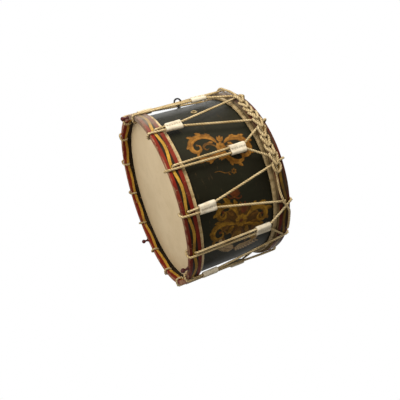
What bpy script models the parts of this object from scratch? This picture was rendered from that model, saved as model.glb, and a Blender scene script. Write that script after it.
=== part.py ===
# Rope-tension tenor drum, standing on its three feet.
# Units are metres and degrees. +Z is the drum's axis, from the feet up to the playing head.
# Azimuth 0 is +X, azimuth 90 is +Y. The carrying eye is at azimuth 180.

import math

import bmesh
import bpy
from mathutils import Matrix, Vector

# Driving dimensions
HOOP_OUTER = 0.2415
HOOP_INNER = 0.2285
HOOP_WIDTH = 0.0325
HOOP_CORNER = 0.0012
DEPTH_OVER_HOOPS = 0.2866
HEAD_RECESS = 0.027
SHELL_OUTER = 0.227
SHELL_WALL = 0.006
FLESH_HOOP_THICK = 0.005
FLESH_HOOP_HEIGHT = 0.0082
SKIN = 0.0008
FOOT_HEIGHT = 0.021
CORD = 0.0066
GAP = 0.0003

# Glue rings inside the shell's ends
GLUE_RING_THICK = 0.0065
GLUE_RING_HEIGHT = 0.036
GLUE_RING_SET_BACK = 0.0045

# Lacing
VEES = 14
HOLE_RADIUS = 0.0041
HOLE_FROM_RIM = 0.015
HOOP_TWIST = 0.34
LOW_LOOP_STEP = 1.9
HIGH_LOOP_STEP = 0.75
LOW_LOOP_SLANT = -4.0
FIRST_END_STEP = 4.0

# Leather tugs: height of each end above the rim of the lower hoop
NEAR_TUG = (0.0405, 0.0825)
FAR_TUG = (0.1600, 0.2015)
TUG_RAISED = {5: 0.021}
LEATHER = 0.0021
TUG_LAP = 0.0014
TUG_SLACK = 0.00055
TUG_MOUTH = 0.0015
LEG_SPACING_AT_HOOP = 0.0083
LEG_SPACING_AT_TUG = 0.0146

# Facets round the drum; a hole's centre falls in the middle of a facet
ROUND = 56
HALF_FACET = 180 / ROUND
FLAT = math.cos(math.radians(HALF_FACET))

# Turned feet
FEET = {"foot_front": -50.0, "foot_back": 50.0, "foot_under_eye": 180.0}
FOOT_BALL = 0.0062
FOOT_SPIGOT = 0.0031
FOOT_SPIGOT_HEIGHT = 0.0122
FOOT_SOCKET = 0.0035

# Carrying eye, with the radius of its centre
EYE_AZIMUTH = 180.0
EYE_CENTRE = 0.2438
EYE_RING = 0.0095
EYE_WIRE = 0.0023
EYE_SHANK = 0.0024
EYE_FLANGE = 0.0056
EYE_STEM_END = 0.2120
WASHER_RADIUS = 0.0062
WASHER_THICK = 0.0012
NUT_RADIUS = 0.0052
NUT_HEIGHT = 0.0042

# Vent and peg hole
VENT_AZIMUTH = -156.0
VENT_BORE = 0.0044
VENT_BARREL = 0.0052
PEG_HOLE_AZIMUTH = -148.9
PEG_HOLE_RADIUS = 0.0020

STEP = 360 / VEES
LOW_RIM = FOOT_HEIGHT
HIGH_RIM = LOW_RIM + DEPTH_OVER_HOOPS
MIDDLE = (LOW_RIM + HIGH_RIM) / 2
EYE_HEIGHT = MIDDLE + 0.0023
VENT_HEIGHT = MIDDLE + 0.0045
PEG_HOLE_HEIGHT = MIDDLE - 0.019
SHELL_INNER = SHELL_OUTER - SHELL_WALL
SHELL_RECESS = HEAD_RECESS + SKIN + GAP

# Lines that the cord follows: outside the hoops, inside them, and over another cord
CORD_R = CORD / 2
CORD_GAP = 0.00035
OUTER_LINE = HOOP_OUTER + CORD_R + CORD_GAP
INNER_LINE = HOOP_INNER * FLAT - CORD_R - CORD_GAP
OVER_LINE = OUTER_LINE + CORD + 0.0004
BEND = 0.0044
RIM_EDGE = 0.0012
RIM_SHOULDER = 0.0032
RIM_TOP = 0.0045

# Plaited end of the cord; its lead is the radius of the cord where it goes in
PLAIT_START = -158.0
PLAIT_TURN = 63.2
PLAIT_HEIGHT = HIGH_RIM - 0.0250
PLAIT_HALF_WIDTH = 0.0104
PLAIT_THICK = 0.0104
PLAIT_LEAD = 0.2522
PLAIT_SECTIONS = 38
# Degrees: where the lift over a cord is centred from its hole, how far it reaches, and its slope
LIFT_SHIFT = 0.9
LIFT_REACH = 8.2
LIFT_SLOPE = 3.4

KNOT_RADIUS = 0.0080
KNOT_HALF_DEPTH = 0.0066


def clear_scene():
    for thing in list(bpy.data.objects):
        bpy.data.objects.remove(thing, do_unlink=True)
    for group in list(bpy.data.collections):
        bpy.data.collections.remove(group)


def new_collection(name):
    group = bpy.data.collections.new(name)
    bpy.context.scene.collection.children.link(group)
    return group


def make_material(name, colour, roughness, metallic=0.0):
    material = bpy.data.materials.new(name)
    material.use_nodes = True
    shader = material.node_tree.nodes["Principled BSDF"]
    shader.inputs["Base Color"].default_value = (*colour, 1.0)
    shader.inputs["Roughness"].default_value = roughness
    shader.inputs["Metallic"].default_value = metallic
    return material


def polar(radius, azimuth, height):
    turn = math.radians(azimuth)
    return Vector((radius * math.cos(turn), radius * math.sin(turn), height))


def place(name, data, collection, material=None):
    thing = bpy.data.objects.new(name, data)
    collection.objects.link(thing)
    if material:
        data.materials.append(material)
    return thing


def profile_mesh(name, points, closed):
    mesh = bpy.data.meshes.new(name)
    edges = [(i, i + 1) for i in range(len(points) - 1)]
    if closed:
        edges.append((len(points) - 1, 0))
    mesh.from_pydata([(r, 0.0, z) for r, z in points], edges, [])
    return mesh


def turned(name, points, collection, material, closed=True, sides=ROUND, turn=HALF_FACET):
    # The profile runs down its outer side and, on a ring, back up its inner side.
    thing = place(name, profile_mesh(name, points, closed), collection, material)
    thing.rotation_euler.z = math.radians(turn)
    screw = thing.modifiers.new("Screw", "SCREW")
    screw.steps = sides
    screw.render_steps = sides
    screw.use_merge_vertices = True
    screw.merge_threshold = 0.00002
    screw.use_smooth_shade = False
    return thing


def mirrored(points):
    # The same profile at the other end of the drum
    return [(r, LOW_RIM + HIGH_RIM - z) for r, z in reversed(points)]


def radial_axis(azimuth, height, radius=0.0):
    # A frame whose +Z points out from the drum's axis and whose X is up
    out = polar(1.0, azimuth, 0.0)
    up = Vector((0, 0, 1))
    side = out.cross(up)
    turn = Matrix((up, side, out)).transposed().to_4x4()
    return Matrix.Translation(polar(radius, azimuth, height)) @ turn


def cylinder_mesh(name, radius, length, sides):
    mesh = bpy.data.meshes.new(name)
    bm = bmesh.new()
    bmesh.ops.create_cone(bm, cap_ends=True, segments=sides, radius1=radius, radius2=radius, depth=length)
    bm.to_mesh(mesh)
    bm.free()
    return mesh


def cutter(name, mesh, matrix, collection):
    thing = place(name, mesh, collection)
    thing.matrix_world = matrix
    thing.hide_render = True
    thing.display_type = "WIRE"
    return thing


def cut_by(thing, collection):
    boolean = thing.modifiers.new("Holes", "BOOLEAN")
    boolean.operation = "DIFFERENCE"
    boolean.operand_type = "COLLECTION"
    boolean.collection = collection
    boolean.solver = "EXACT"


def cord_curve(name, points, radius, collection, material, resolution=2, cyclic=False):
    data = bpy.data.curves.new(name, "CURVE")
    data.dimensions = "3D"
    data.bevel_depth = radius
    data.bevel_resolution = resolution
    data.use_fill_caps = not cyclic
    spline = data.splines.new("POLY")
    spline.points.add(len(points) - 1)
    for point, co in zip(spline.points, points):
        point.co = (*co, 1.0)
    spline.use_cyclic_u = cyclic
    return place(name, data, collection, material)


def low_hole(vee):
    return STEP * (vee - 0.5) - 180


def high_hole(vee):
    return low_hole(vee) + STEP / 2 + HOOP_TWIST


# Shell: a bent wooden tube with rounded bearing edges, a vent and a peg hole
def make_shell(parts, cutters, wood):
    low = LOW_RIM + SHELL_RECESS
    high = HIGH_RIM - SHELL_RECESS
    edge = 0.0016
    flat = 0.0014
    bevel = 0.0025
    top = [
        (SHELL_INNER, high - bevel),
        (SHELL_INNER + bevel, high),
        (SHELL_OUTER - flat, high),
        (SHELL_OUTER, high - edge),
    ]
    bottom = [
        (SHELL_OUTER, low + edge),
        (SHELL_OUTER - flat, low),
        (SHELL_INNER + bevel, low),
        (SHELL_INNER, low + bevel),
    ]
    shell = turned("shell", top + bottom, parts, wood)
    holes = new_collection("shell_cutters")
    for name, radius, azimuth, height in (
        ("vent_cut", VENT_BARREL + 0.0004, VENT_AZIMUTH, VENT_HEIGHT),
        ("peg_cut", PEG_HOLE_RADIUS, PEG_HOLE_AZIMUTH, PEG_HOLE_HEIGHT),
        ("eye_cut", EYE_SHANK + 0.0004, EYE_AZIMUTH, EYE_HEIGHT),
    ):
        mesh = cylinder_mesh(name, radius, 0.03, 16)
        cutter(name, mesh, radial_axis(azimuth, height, SHELL_OUTER), holes)
    cut_by(shell, holes)
    cutters.children.link(holes)
    bpy.context.scene.collection.children.unlink(holes)
    return shell


# Glue rings: the hoops glued inside each end of the shell
def make_glue_rings(parts, wood):
    outer = SHELL_INNER - GAP
    inner = outer - GLUE_RING_THICK
    high = HIGH_RIM - SHELL_RECESS - GLUE_RING_SET_BACK
    low = high - GLUE_RING_HEIGHT
    ring = [(inner, high), (outer, high), (outer, low), (inner, low)]
    turned("upper_glue_ring", ring, parts, wood)
    turned("lower_glue_ring", mirrored(ring), parts, wood)


# Flesh hoops: the thin wooden hoops that each skin is lapped round
def make_flesh_hoops(parts, wood):
    inner = SHELL_OUTER + GAP + SKIN + GAP
    outer = inner + FLESH_HOOP_THICK
    high = HIGH_RIM - HOOP_WIDTH - GAP - SKIN - GAP
    low = high - FLESH_HOOP_HEIGHT
    ring = [(inner, high), (outer, high), (outer, low), (inner, low)]
    turned("upper_flesh_hoop", ring, parts, wood)
    turned("lower_flesh_hoop", mirrored(ring), parts, wood)


# Heads: one skin each, over the bearing edge, down the shell and lapped round the flesh hoop
def make_heads(parts, skin):
    half = SKIN / 2
    reach = half + GAP
    face = HIGH_RIM - HEAD_RECESS - half
    skirt = SHELL_OUTER + reach
    lap = skirt + FLESH_HOOP_THICK + 2 * reach
    lap_top = HIGH_RIM - HOOP_WIDTH - GAP - half
    lap_bottom = lap_top - FLESH_HOOP_HEIGHT - 2 * reach
    path = [
        (0.0, face),
        (SHELL_OUTER - 0.0011, face),
        (skirt, face - 0.00205),
        (skirt, lap_top),
        (lap, lap_top),
        (lap, lap_bottom),
        (skirt + 0.0002, lap_bottom),
    ]
    for name, points in (("upper_head", path), ("lower_head", mirrored(path))):
        head = turned(name, points, parts, skin, closed=False)
        solid = head.modifiers.new("Thickness", "SOLIDIFY")
        solid.thickness = SKIN
        solid.offset = 0.0
        solid.use_even_offset = True


# Counterhoops: the wide painted hoops, bored for the cord
def make_counterhoops(parts, cutters, wood):
    corner = HOOP_CORNER
    low = HIGH_RIM - HOOP_WIDTH
    ring = [
        (HOOP_INNER + corner, HIGH_RIM),
        (HOOP_OUTER - corner, HIGH_RIM),
        (HOOP_OUTER, HIGH_RIM - corner),
        (HOOP_OUTER, low + corner),
        (HOOP_OUTER - corner, low),
        (HOOP_INNER, low),
        (HOOP_INNER, HIGH_RIM - corner),
    ]
    bore = cylinder_mesh("cord_bore", HOLE_RADIUS, 0.03, 10)
    socket = cylinder_mesh("foot_socket", FOOT_SOCKET, 0.0256, 10)
    middle = (HOOP_INNER + HOOP_OUTER) / 2
    high_holes = [high_hole(vee) for vee in range(VEES)] + [first_end_hole()]
    low_holes = [low_hole(vee) for vee in range(VEES)]
    for name, points, holes, height in (
        ("upper_counterhoop", ring, high_holes, HIGH_RIM - HOLE_FROM_RIM),
        ("lower_counterhoop", mirrored(ring), low_holes, LOW_RIM + HOLE_FROM_RIM),
    ):
        hoop = turned(name, points, parts, wood)
        group = new_collection(name + "_cutters")
        for azimuth in holes:
            cutter("cord_bore", bore, radial_axis(azimuth, height, middle), group)
        if name == "lower_counterhoop":
            for azimuth in FEET.values():
                place_socket = Matrix.Translation(polar(middle, azimuth, LOW_RIM))
                cutter("foot_socket", socket, place_socket, group)
        cut_by(hoop, group)
        cutters.children.link(group)
        bpy.context.scene.collection.children.unlink(group)


# Feet: turned ball feet whose spigots sit in the rim of the lower hoop
def make_feet(parts, wood):
    middle = (HOOP_INNER + HOOP_OUTER) / 2
    centre = 0.0058
    angles = [math.radians(a) for a in (62, 30, 0, -35, -69.3)]
    top = LOW_RIM + FOOT_SPIGOT_HEIGHT
    profile = [(0.0, top), (FOOT_SPIGOT, top), (FOOT_SPIGOT, LOW_RIM - GAP)]
    profile += [(0.0047, LOW_RIM - GAP), (0.0052, LOW_RIM - 0.0022), (0.0034, LOW_RIM - 0.0045)]
    profile += [(FOOT_BALL * math.cos(a), centre + FOOT_BALL * math.sin(a)) for a in angles]
    profile.append((0.0, 0.0))
    for name, azimuth in FEET.items():
        foot = turned(name, profile, parts, wood, closed=False, sides=12, turn=0)
        foot.location = polar(middle, azimuth, 0.0)


# Carrying eye: an iron eye bolt through the wall, with its washer and nut inside
def make_carrying_eye(parts, cutters, iron):
    bm = bmesh.new()
    sweep = bpy.data.curves.new("eye_ring", "CURVE")
    sweep.dimensions = "3D"
    sweep.bevel_depth = EYE_WIRE
    sweep.bevel_resolution = 2
    spline = sweep.splines.new("POLY")
    count = 18
    spline.points.add(count - 1)
    for i, point in enumerate(spline.points):
        turn = 2 * math.pi * i / count
        point.co = (-EYE_CENTRE + EYE_RING * math.cos(turn), 0.0, EYE_HEIGHT + EYE_RING * math.sin(turn), 1.0)
    spline.use_cyclic_u = True
    ring = place("eye_ring", sweep, cutters)
    bpy.context.view_layer.update()
    evaluated = ring.evaluated_get(bpy.context.evaluated_depsgraph_get())
    mesh = bpy.data.meshes.new_from_object(evaluated)
    bpy.data.objects.remove(ring)
    bm.from_mesh(mesh)
    bmesh.ops.remove_doubles(bm, verts=bm.verts, dist=0.00002)
    bm.to_mesh(mesh)
    bm.free()
    eye = place("carrying_eye", mesh, parts, iron)
    foot = SHELL_OUTER + GAP
    top = EYE_CENTRE - EYE_RING
    shank = [(0.0, top), (EYE_SHANK, top), (EYE_SHANK + 0.0004, foot + 0.0035)]
    shank += [(EYE_FLANGE, foot + 0.0012), (EYE_FLANGE, foot), (EYE_SHANK, foot)]
    shank += [(EYE_SHANK, EYE_STEM_END + 0.0005), (0.0, EYE_STEM_END)]
    stem = turned("eye_stem", shank, cutters, None, closed=False, sides=12, turn=0)
    stem.matrix_world = radial_axis(EYE_AZIMUTH, EYE_HEIGHT)
    stem.hide_render = True
    stem.display_type = "WIRE"
    union = eye.modifiers.new("Stem", "BOOLEAN")
    union.operation = "UNION"
    union.object = stem
    union.solver = "EXACT"

    wall = SHELL_INNER * FLAT - GAP
    back = wall - WASHER_THICK
    bore = EYE_SHANK + GAP
    washer = [(bore, wall), (WASHER_RADIUS, wall), (WASHER_RADIUS, back), (bore, back)]
    plate = turned("eye_washer", washer, parts, iron, sides=16, turn=0)
    plate.matrix_world = radial_axis(EYE_AZIMUTH, EYE_HEIGHT)
    seat = back - GAP
    # a hexagon's corners stand further out than its flats
    bore = EYE_SHANK + 0.00075
    hexagon = [(bore, seat), (NUT_RADIUS - 0.0005, seat), (NUT_RADIUS, seat - 0.0006)]
    hexagon += [(NUT_RADIUS, seat - NUT_HEIGHT), (bore, seat - NUT_HEIGHT)]
    nut = turned("eye_nut", hexagon, parts, iron, sides=6, turn=0)
    nut.matrix_world = radial_axis(EYE_AZIMUTH, EYE_HEIGHT)


# Vent: a turned eyelet clenched in the wall
def make_vent(parts, brass):
    face = SHELL_OUTER + GAP
    inside = SHELL_INNER * FLAT - 0.0005
    flange = 0.0066
    profile = [
        (VENT_BORE, face + 0.0012),
        (0.0056, face + 0.0021),
        (0.0078, face + 0.0018),
        (0.0090, face),
        (VENT_BARREL, face),
        (VENT_BARREL, inside),
        (flange, inside),
        (flange, inside - 0.0010),
        (VENT_BORE, inside - 0.0010),
    ]
    vent = turned("vent_eyelet", profile, parts, brass, sides=16, turn=0)
    vent.matrix_world = radial_axis(VENT_AZIMUTH, VENT_HEIGHT)


def first_end_hole():
    # The extra hole that holds the knotted first end of the cord
    return high_hole(-1) + FIRST_END_STEP


def tug_ends(vee):
    raised = TUG_RAISED.get(vee, 0.0)
    return tuple(height + raised for height in (FAR_TUG if vee % 2 else NEAR_TUG))


def hoop_loop(azimuth, rim, inward, slant_in, loop_step, edge=True):
    # From the outer face through the hole, up the inner face and back over the rim.
    # inward is +1 where the drum's middle lies above the rim; slant_in is degrees per metre.
    def at(radius, depth, shift):
        return polar(radius, azimuth + shift, rim + inward * depth)

    hole = HOLE_FROM_RIM
    lean = 1 - math.sqrt(0.5)
    points = []
    if edge:
        points.append(at(OUTER_LINE, HOOP_WIDTH, slant_in * (HOOP_WIDTH - hole)))
    points += [
        at(OUTER_LINE, hole + BEND, slant_in * BEND),
        at(OUTER_LINE - BEND * lean, hole + BEND * lean, slant_in * BEND * lean),
        at(OUTER_LINE - BEND, hole, 0.0),
        at(INNER_LINE + BEND, hole, 0.0),
        at(INNER_LINE + BEND * lean, hole - BEND * lean, 0.05 * loop_step),
        at(INNER_LINE, hole - BEND, 0.10 * loop_step),
        at(INNER_LINE, RIM_EDGE, 0.26 * loop_step),
        at(INNER_LINE + 0.0017, -RIM_SHOULDER, 0.37 * loop_step),
        at((INNER_LINE + OUTER_LINE) / 2, -RIM_TOP, 0.60 * loop_step),
        at(OUTER_LINE - 0.0017, -RIM_SHOULDER, 0.84 * loop_step),
        at(OUTER_LINE, RIM_EDGE, loop_step),
    ]
    return points


# Tension cord: one cord, laced round all fourteen vees and out to the start of the plait
def tension_route():
    entry = first_end_hole()
    hole_height = HIGH_RIM - HOLE_FROM_RIM
    rim_face = HIGH_RIM - HOOP_WIDTH
    # half the angle between a vee's legs where they leave the far mouth of its tug
    spread = math.degrees(LEG_SPACING_AT_TUG / 2 / OUTER_LINE)
    knot = HOOP_INNER * FLAT + 0.0002
    route = [polar(knot, entry, hole_height), polar(OUTER_LINE - BEND, entry, hole_height)]
    for vee in range(VEES):
        hole = low_hole(vee)
        centre = hole + LOW_LOOP_STEP / 2
        outside = LOW_RIM + tug_ends(vee)[1] + TUG_MOUTH
        # upper leg, from the high hoop down to the tug
        if vee == 0:
            start, start_height = entry, hole_height
        else:
            start, start_height = high_hole(vee - 1) + HIGH_LOOP_STEP, HIGH_RIM - RIM_EDGE
        slope = (centre - spread - start) / (start_height - outside)
        if vee == 0:
            lean = BEND * (1 - math.sqrt(0.5))
            route.append(polar(OUTER_LINE - lean, entry + slope * lean, hole_height - lean))
            route.append(polar(OUTER_LINE, entry + slope * BEND, hole_height - BEND))
        route.append(polar(OUTER_LINE, start + slope * (start_height - rim_face), rim_face))
        route.append(polar(OUTER_LINE, centre - spread, outside))
        # round the low hoop
        route += hoop_loop(hole, LOW_RIM, 1, LOW_LOOP_SLANT, LOW_LOOP_STEP, edge=False)
        # lower leg, from the tug up to the high hoop
        route.append(polar(OUTER_LINE, centre + spread, outside))
        target = high_hole(vee)
        rise = (target - centre - spread) / (hole_height - outside)
        route += hoop_loop(target, HIGH_RIM, -1, -rise, HIGH_LOOP_STEP)
    # along the rim, over the first vee's leg and straight on to the plait
    last = high_hole(-1)
    for shift, depth, radius in (
        (1.3, 0.0038, OUTER_LINE),
        (2.4, 0.0060, OUTER_LINE),
        (6.0, 0.0066, OUTER_LINE),
        (9.6, 0.0066, OUTER_LINE),
        (13.2, 0.0067, OUTER_LINE),
        (16.8, 0.0068, OUTER_LINE),
        (20.2, 0.0070, OUTER_LINE),
        (22.6, 0.0072, OUTER_LINE + 0.0036),
        (25.0, 0.0076, OVER_LINE),
        (28.6, 0.0086, OVER_LINE),
    ):
        route.append(polar(radius, last + shift, HIGH_RIM - depth))
    route.append(polar(PLAIT_LEAD, PLAIT_START - 2.4, PLAIT_HEIGHT))
    route.append(polar(PLAIT_LEAD, PLAIT_START - 0.2, PLAIT_HEIGHT))
    return route


def make_tension_cord(parts, rope):
    cord_curve("tension_cord", tension_route(), CORD_R, parts, rope)


def over_cord(azimuth):
    # How far the plait is lifted, from 0 on the hoop to 1 where it rides over the lacing
    lift = 0.0
    for vee in range(VEES):
        away = azimuth - high_hole(vee) - LIFT_SHIFT
        lift = max(lift, min(1.0, max(0.0, (LIFT_REACH - abs(away)) / LIFT_SLOPE)))
    return lift * lift * (3 - 2 * lift)


# Plaited end: the spare cord, chain-plaited along the outside of the upper hoop
def make_plait(parts, rope):
    low = HOOP_OUTER + GAP
    high = OUTER_LINE + CORD_R + GAP
    thick = PLAIT_THICK
    half = PLAIT_HALF_WIDTH
    # its eight corners: distance out from the hoop, height
    section = [(0.0, half - 0.0026), (0.0, 0.0026 - half), (0.0019, -half), (thick - 0.0022, -half)]
    section += [(thick, 0.0028 - half), (thick, half - 0.0028), (thick - 0.0022, half), (0.0019, half)]
    mesh = bpy.data.meshes.new("plaited_cord_end")
    bm = bmesh.new()
    rings = []
    for i in range(PLAIT_SECTIONS + 1):
        azimuth = PLAIT_START + PLAIT_TURN * i / PLAIT_SECTIONS
        seat = low + (high - low) * over_cord(azimuth)
        rings.append([bm.verts.new(polar(seat + out, azimuth, PLAIT_HEIGHT + up)) for out, up in section])
    for one, two in zip(rings, rings[1:]):
        for k in range(len(section)):
            bm.faces.new((one[k - 1], one[k], two[k], two[k - 1]))
    bm.faces.new(rings[0])
    bm.faces.new(reversed(rings[-1]))
    bmesh.ops.recalc_face_normals(bm, faces=bm.faces)
    bm.to_mesh(mesh)
    bm.free()
    place("plaited_cord_end", mesh, parts, rope)


# Cord tail: the single strand beyond the plait, tucked round the next vee
def make_cord_tail(parts, rope):
    base = high_hole(4)
    start = PLAIT_START + PLAIT_TURN + 0.12 - base
    # degrees from the vee's upper hole, metres from the rim, radius
    route = [
        (start, -0.0274, OUTER_LINE + 0.0012),
        (start + 2.4, -0.0278, OUTER_LINE),
        (-13.0, -0.0278, OUTER_LINE),
        (-8.4, -0.0276, OUTER_LINE),
        (-5.6, -0.0266, OUTER_LINE + 0.0030),
        (-3.2, -0.0242, OVER_LINE),
        (0.0, -0.0200, OVER_LINE),
        (3.0, -0.0140, OVER_LINE),
        (5.8, -0.0090, OVER_LINE),
        (8.0, -0.0062, OUTER_LINE + 0.0030),
        (10.2, -0.0046, OUTER_LINE),
        (14.0, -0.0040, OUTER_LINE),
        (18.0, -0.0038, OUTER_LINE),
        (21.7, -0.0038, OUTER_LINE),
    ]
    points = [polar(radius, base + shift, HIGH_RIM + drop) for shift, drop, radius in route]
    cord_curve("cord_tail", points, CORD_R, parts, rope)


# Stopper knot: the knot that holds the cord's first end inside the upper hoop
def make_stopper_knot(parts, rope):
    mesh = bpy.data.meshes.new("stopper_knot")
    bm = bmesh.new()
    bmesh.ops.create_uvsphere(bm, u_segments=12, v_segments=8, radius=1.0)
    bm.to_mesh(mesh)
    bm.free()
    mesh.transform(Matrix.Diagonal((KNOT_RADIUS, KNOT_RADIUS, KNOT_HALF_DEPTH, 1.0)))
    knot = place("stopper_knot", mesh, parts, rope)
    seat = HOOP_INNER * FLAT - GAP
    knot.matrix_world = radial_axis(first_end_hole(), HIGH_RIM - HOLE_FROM_RIM, seat - KNOT_HALF_DEPTH)


def tug_section(half_width, half_height, lap):
    # A flat-sided oval whose outer side has one half lapped over the other
    reach = half_width - half_height
    points = []
    for i in range(5):
        turn = math.radians(90 - 45 * i)
        lift = lap * max(0.0, math.sin(turn))
        points.append((reach + half_height * math.cos(turn), half_height * math.sin(turn) + lift))
    for i in range(5):
        turn = math.radians(-90 - 45 * i)
        points.append((-reach + half_height * math.cos(turn), half_height * math.sin(turn)))
    points += [(-0.0005, half_height), (0.0005, half_height + lap)]
    return points


def tug_mesh(name, ends):
    # A leather sleeve lapped along its outer side, wider at its far mouth
    spacing = LEG_SPACING_AT_TUG - LEG_SPACING_AT_HOOP
    bm = bmesh.new()
    outer = []
    bore = []
    for height in ends:
        legs = LEG_SPACING_AT_HOOP + spacing * height / ends[1]
        half = legs / 2 + CORD_R + TUG_SLACK
        level = height - ends[0]
        skin = tug_section(half + LEATHER, CORD_R + TUG_SLACK + LEATHER, TUG_LAP)
        hollow = tug_section(half, CORD_R + TUG_SLACK, 0.0)
        outer.append([bm.verts.new((x, y, level)) for x, y in skin])
        bore.append([bm.verts.new((x, y, level)) for x, y in hollow])
    loops = [outer[0], outer[1], bore[1], bore[0]]
    for one, two in zip(loops, loops[1:] + loops[:1]):
        for k in range(len(one)):
            bm.faces.new((one[k - 1], one[k], two[k], two[k - 1]))
    bmesh.ops.recalc_face_normals(bm, faces=bm.faces)
    mesh = bpy.data.meshes.new(name)
    bm.to_mesh(mesh)
    bm.free()
    return mesh


# Leather tugs: sleeves that slide along the legs of each vee to tighten or slacken the cord
def make_tugs(parts, leather):
    shapes = {ends: tug_mesh("tug_sleeve", ends) for ends in {tug_ends(vee) for vee in range(VEES)}}
    for mesh in shapes.values():
        mesh.materials.append(leather)
    for vee in range(VEES):
        ends = tug_ends(vee)
        azimuth = low_hole(vee) + LOW_LOOP_STEP / 2
        tug = bpy.data.objects.new(f"leather_tug_{vee + 1:02d}", shapes[ends])
        parts.objects.link(tug)
        out = polar(1.0, azimuth, 0.0)
        side = out.cross(Vector((0, 0, 1)))
        turn = Matrix((side, out, Vector((0, 0, 1)))).transposed().to_4x4()
        tug.matrix_world = Matrix.Translation(polar(OUTER_LINE, azimuth, LOW_RIM + ends[0])) @ turn


def shade(parts):
    for thing in parts.objects:
        if thing.type == "MESH":
            thing.data.shade_smooth()
            thing.data.set_sharp_from_angle(angle=math.radians(35))


def build():
    clear_scene()
    parts = new_collection("tenor_drum")
    cutters = new_collection("cutters")
    painted_shell = make_material("shell_paint", (0.030, 0.031, 0.026), 0.45)
    painted_hoop = make_material("hoop_paint", (0.24, 0.035, 0.018), 0.40)
    ash = make_material("ash_wood", (0.50, 0.33, 0.18), 0.60)
    skin = make_material("calf_skin", (0.56, 0.43, 0.27), 0.55)
    rope = make_material("hemp_cord", (0.58, 0.46, 0.28), 0.85)
    leather = make_material("buff_leather", (0.83, 0.75, 0.62), 0.75)
    turned_wood = make_material("foot_wood", (0.10, 0.014, 0.009), 0.35)
    iron = make_material("black_iron", (0.035, 0.033, 0.030), 0.50, 0.9)
    brass = make_material("vent_brass", (0.60, 0.48, 0.28), 0.40, 0.8)
    make_shell(parts, cutters, painted_shell)
    make_glue_rings(parts, ash)
    make_flesh_hoops(parts, ash)
    make_heads(parts, skin)
    make_counterhoops(parts, cutters, painted_hoop)
    make_feet(parts, turned_wood)
    make_carrying_eye(parts, cutters, iron)
    make_vent(parts, brass)
    make_tension_cord(parts, rope)
    make_plait(parts, rope)
    make_cord_tail(parts, rope)
    make_stopper_knot(parts, rope)
    make_tugs(parts, leather)
    shade(parts)


build()
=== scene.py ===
# Rope-tension tenor drum: its finishes, cord, leatherwork and gilding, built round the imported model.
# Metres and degrees, unless a note says otherwise. +Z runs along the drum from its feet to the playing head.
# Azimuth 0 is +X, and the carrying eye is at 180.

import math

import bmesh
import bpy
import numpy as np
from mathutils import Matrix, Vector


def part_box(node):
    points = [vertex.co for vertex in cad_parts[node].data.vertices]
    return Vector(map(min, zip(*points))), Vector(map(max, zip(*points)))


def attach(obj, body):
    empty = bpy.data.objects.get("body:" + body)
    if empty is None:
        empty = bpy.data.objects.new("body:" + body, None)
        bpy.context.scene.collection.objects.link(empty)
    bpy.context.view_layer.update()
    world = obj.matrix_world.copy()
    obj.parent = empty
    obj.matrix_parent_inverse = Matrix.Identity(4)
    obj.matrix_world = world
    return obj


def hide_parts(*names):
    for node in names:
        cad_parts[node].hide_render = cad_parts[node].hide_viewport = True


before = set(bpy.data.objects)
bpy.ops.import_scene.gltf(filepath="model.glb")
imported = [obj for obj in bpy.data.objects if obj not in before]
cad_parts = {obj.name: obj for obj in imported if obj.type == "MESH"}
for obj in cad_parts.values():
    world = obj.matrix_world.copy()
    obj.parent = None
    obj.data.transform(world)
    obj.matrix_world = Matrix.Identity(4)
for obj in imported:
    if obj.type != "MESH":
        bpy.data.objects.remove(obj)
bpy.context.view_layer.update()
print("frame loaded:", len(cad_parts), "nodes")

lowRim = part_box("lower_counterhoop")[0][2]
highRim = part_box("upper_counterhoop")[1][2]
middle = (lowRim + highRim) / 2

drum = {
    "hoopOuter": 0.2415,
    "hoopInner": 0.2285,
    "hoopWidth": 0.0325,
    "shellOuter": 0.2270,
    "shellInner": 0.2210,
    "recess": 0.0270,
    "cadSides": 56,
    "skin": 0.0008,
    "fleshOuter": 0.2345,
    "gap": 0.0003,
    "vees": 14,
    "holeFromRim": 0.0150,
    "holeRadius": 0.0041,
    "twist": 0.34,
    "firstEnd": 4.0,
    "feet": {"foot_front": -50.0, "foot_back": 50.0, "foot_under_eye": 180.0},
    "eye": (180.0, middle + 0.0023),
    "vent": (-156.0, middle + 0.0045),
    "peg": (-148.9, middle - 0.0190),
}
step = 360 / drum["vees"]


def polar(radius, azimuth, height):
    turn = math.radians(azimuth)
    return Vector((radius * math.cos(turn), radius * math.sin(turn), height))


def radialAxis(azimuth, height, radius=0.0):
    # +Z points out from the drum's axis and X is up
    out = polar(1.0, azimuth, 0.0)
    up = Vector((0, 0, 1))
    turn = Matrix((up, out.cross(up), out)).transposed().to_4x4()
    return Matrix.Translation(polar(radius, azimuth, height)) @ turn


def lowHole(vee):
    return step * (vee - 0.5) - 180


def highHole(vee):
    return lowHole(vee) + step / 2 + drum["twist"]


# Camera and light, at the photograph's angle: the drum lies on its side there, so the camera is rolled
view = {
    "place": (-0.2179, -1.1136, -0.2544),
    "turn": (138.655, -62.965, -58.330),
    "lens": 37.8,
    "lamps": {
        "key_light": {"place": (-1.30, -0.75, 0.55), "size": 1.1, "power": 20.5},
        "fill_light": {"place": (-0.92, -0.84, -1.15), "size": 1.2, "power": 24.5},
        "side_light": {"place": (0.90, 0.90, 1.20), "size": 1.2, "power": 4.0},
        "edge_light": {"place": (-1.10, 0.90, 0.65), "size": 1.2, "power": 12.0},
    },
    "worldLevel": 0.33,
    "floorColour": (0.80, 0.80, 0.79),
    "floorReach": 30.0,
    "floorGlow": 0.55,
}


def placed(name, data):
    thing = bpy.data.objects.new(name, data)
    bpy.context.scene.collection.objects.link(thing)
    return thing


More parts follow.
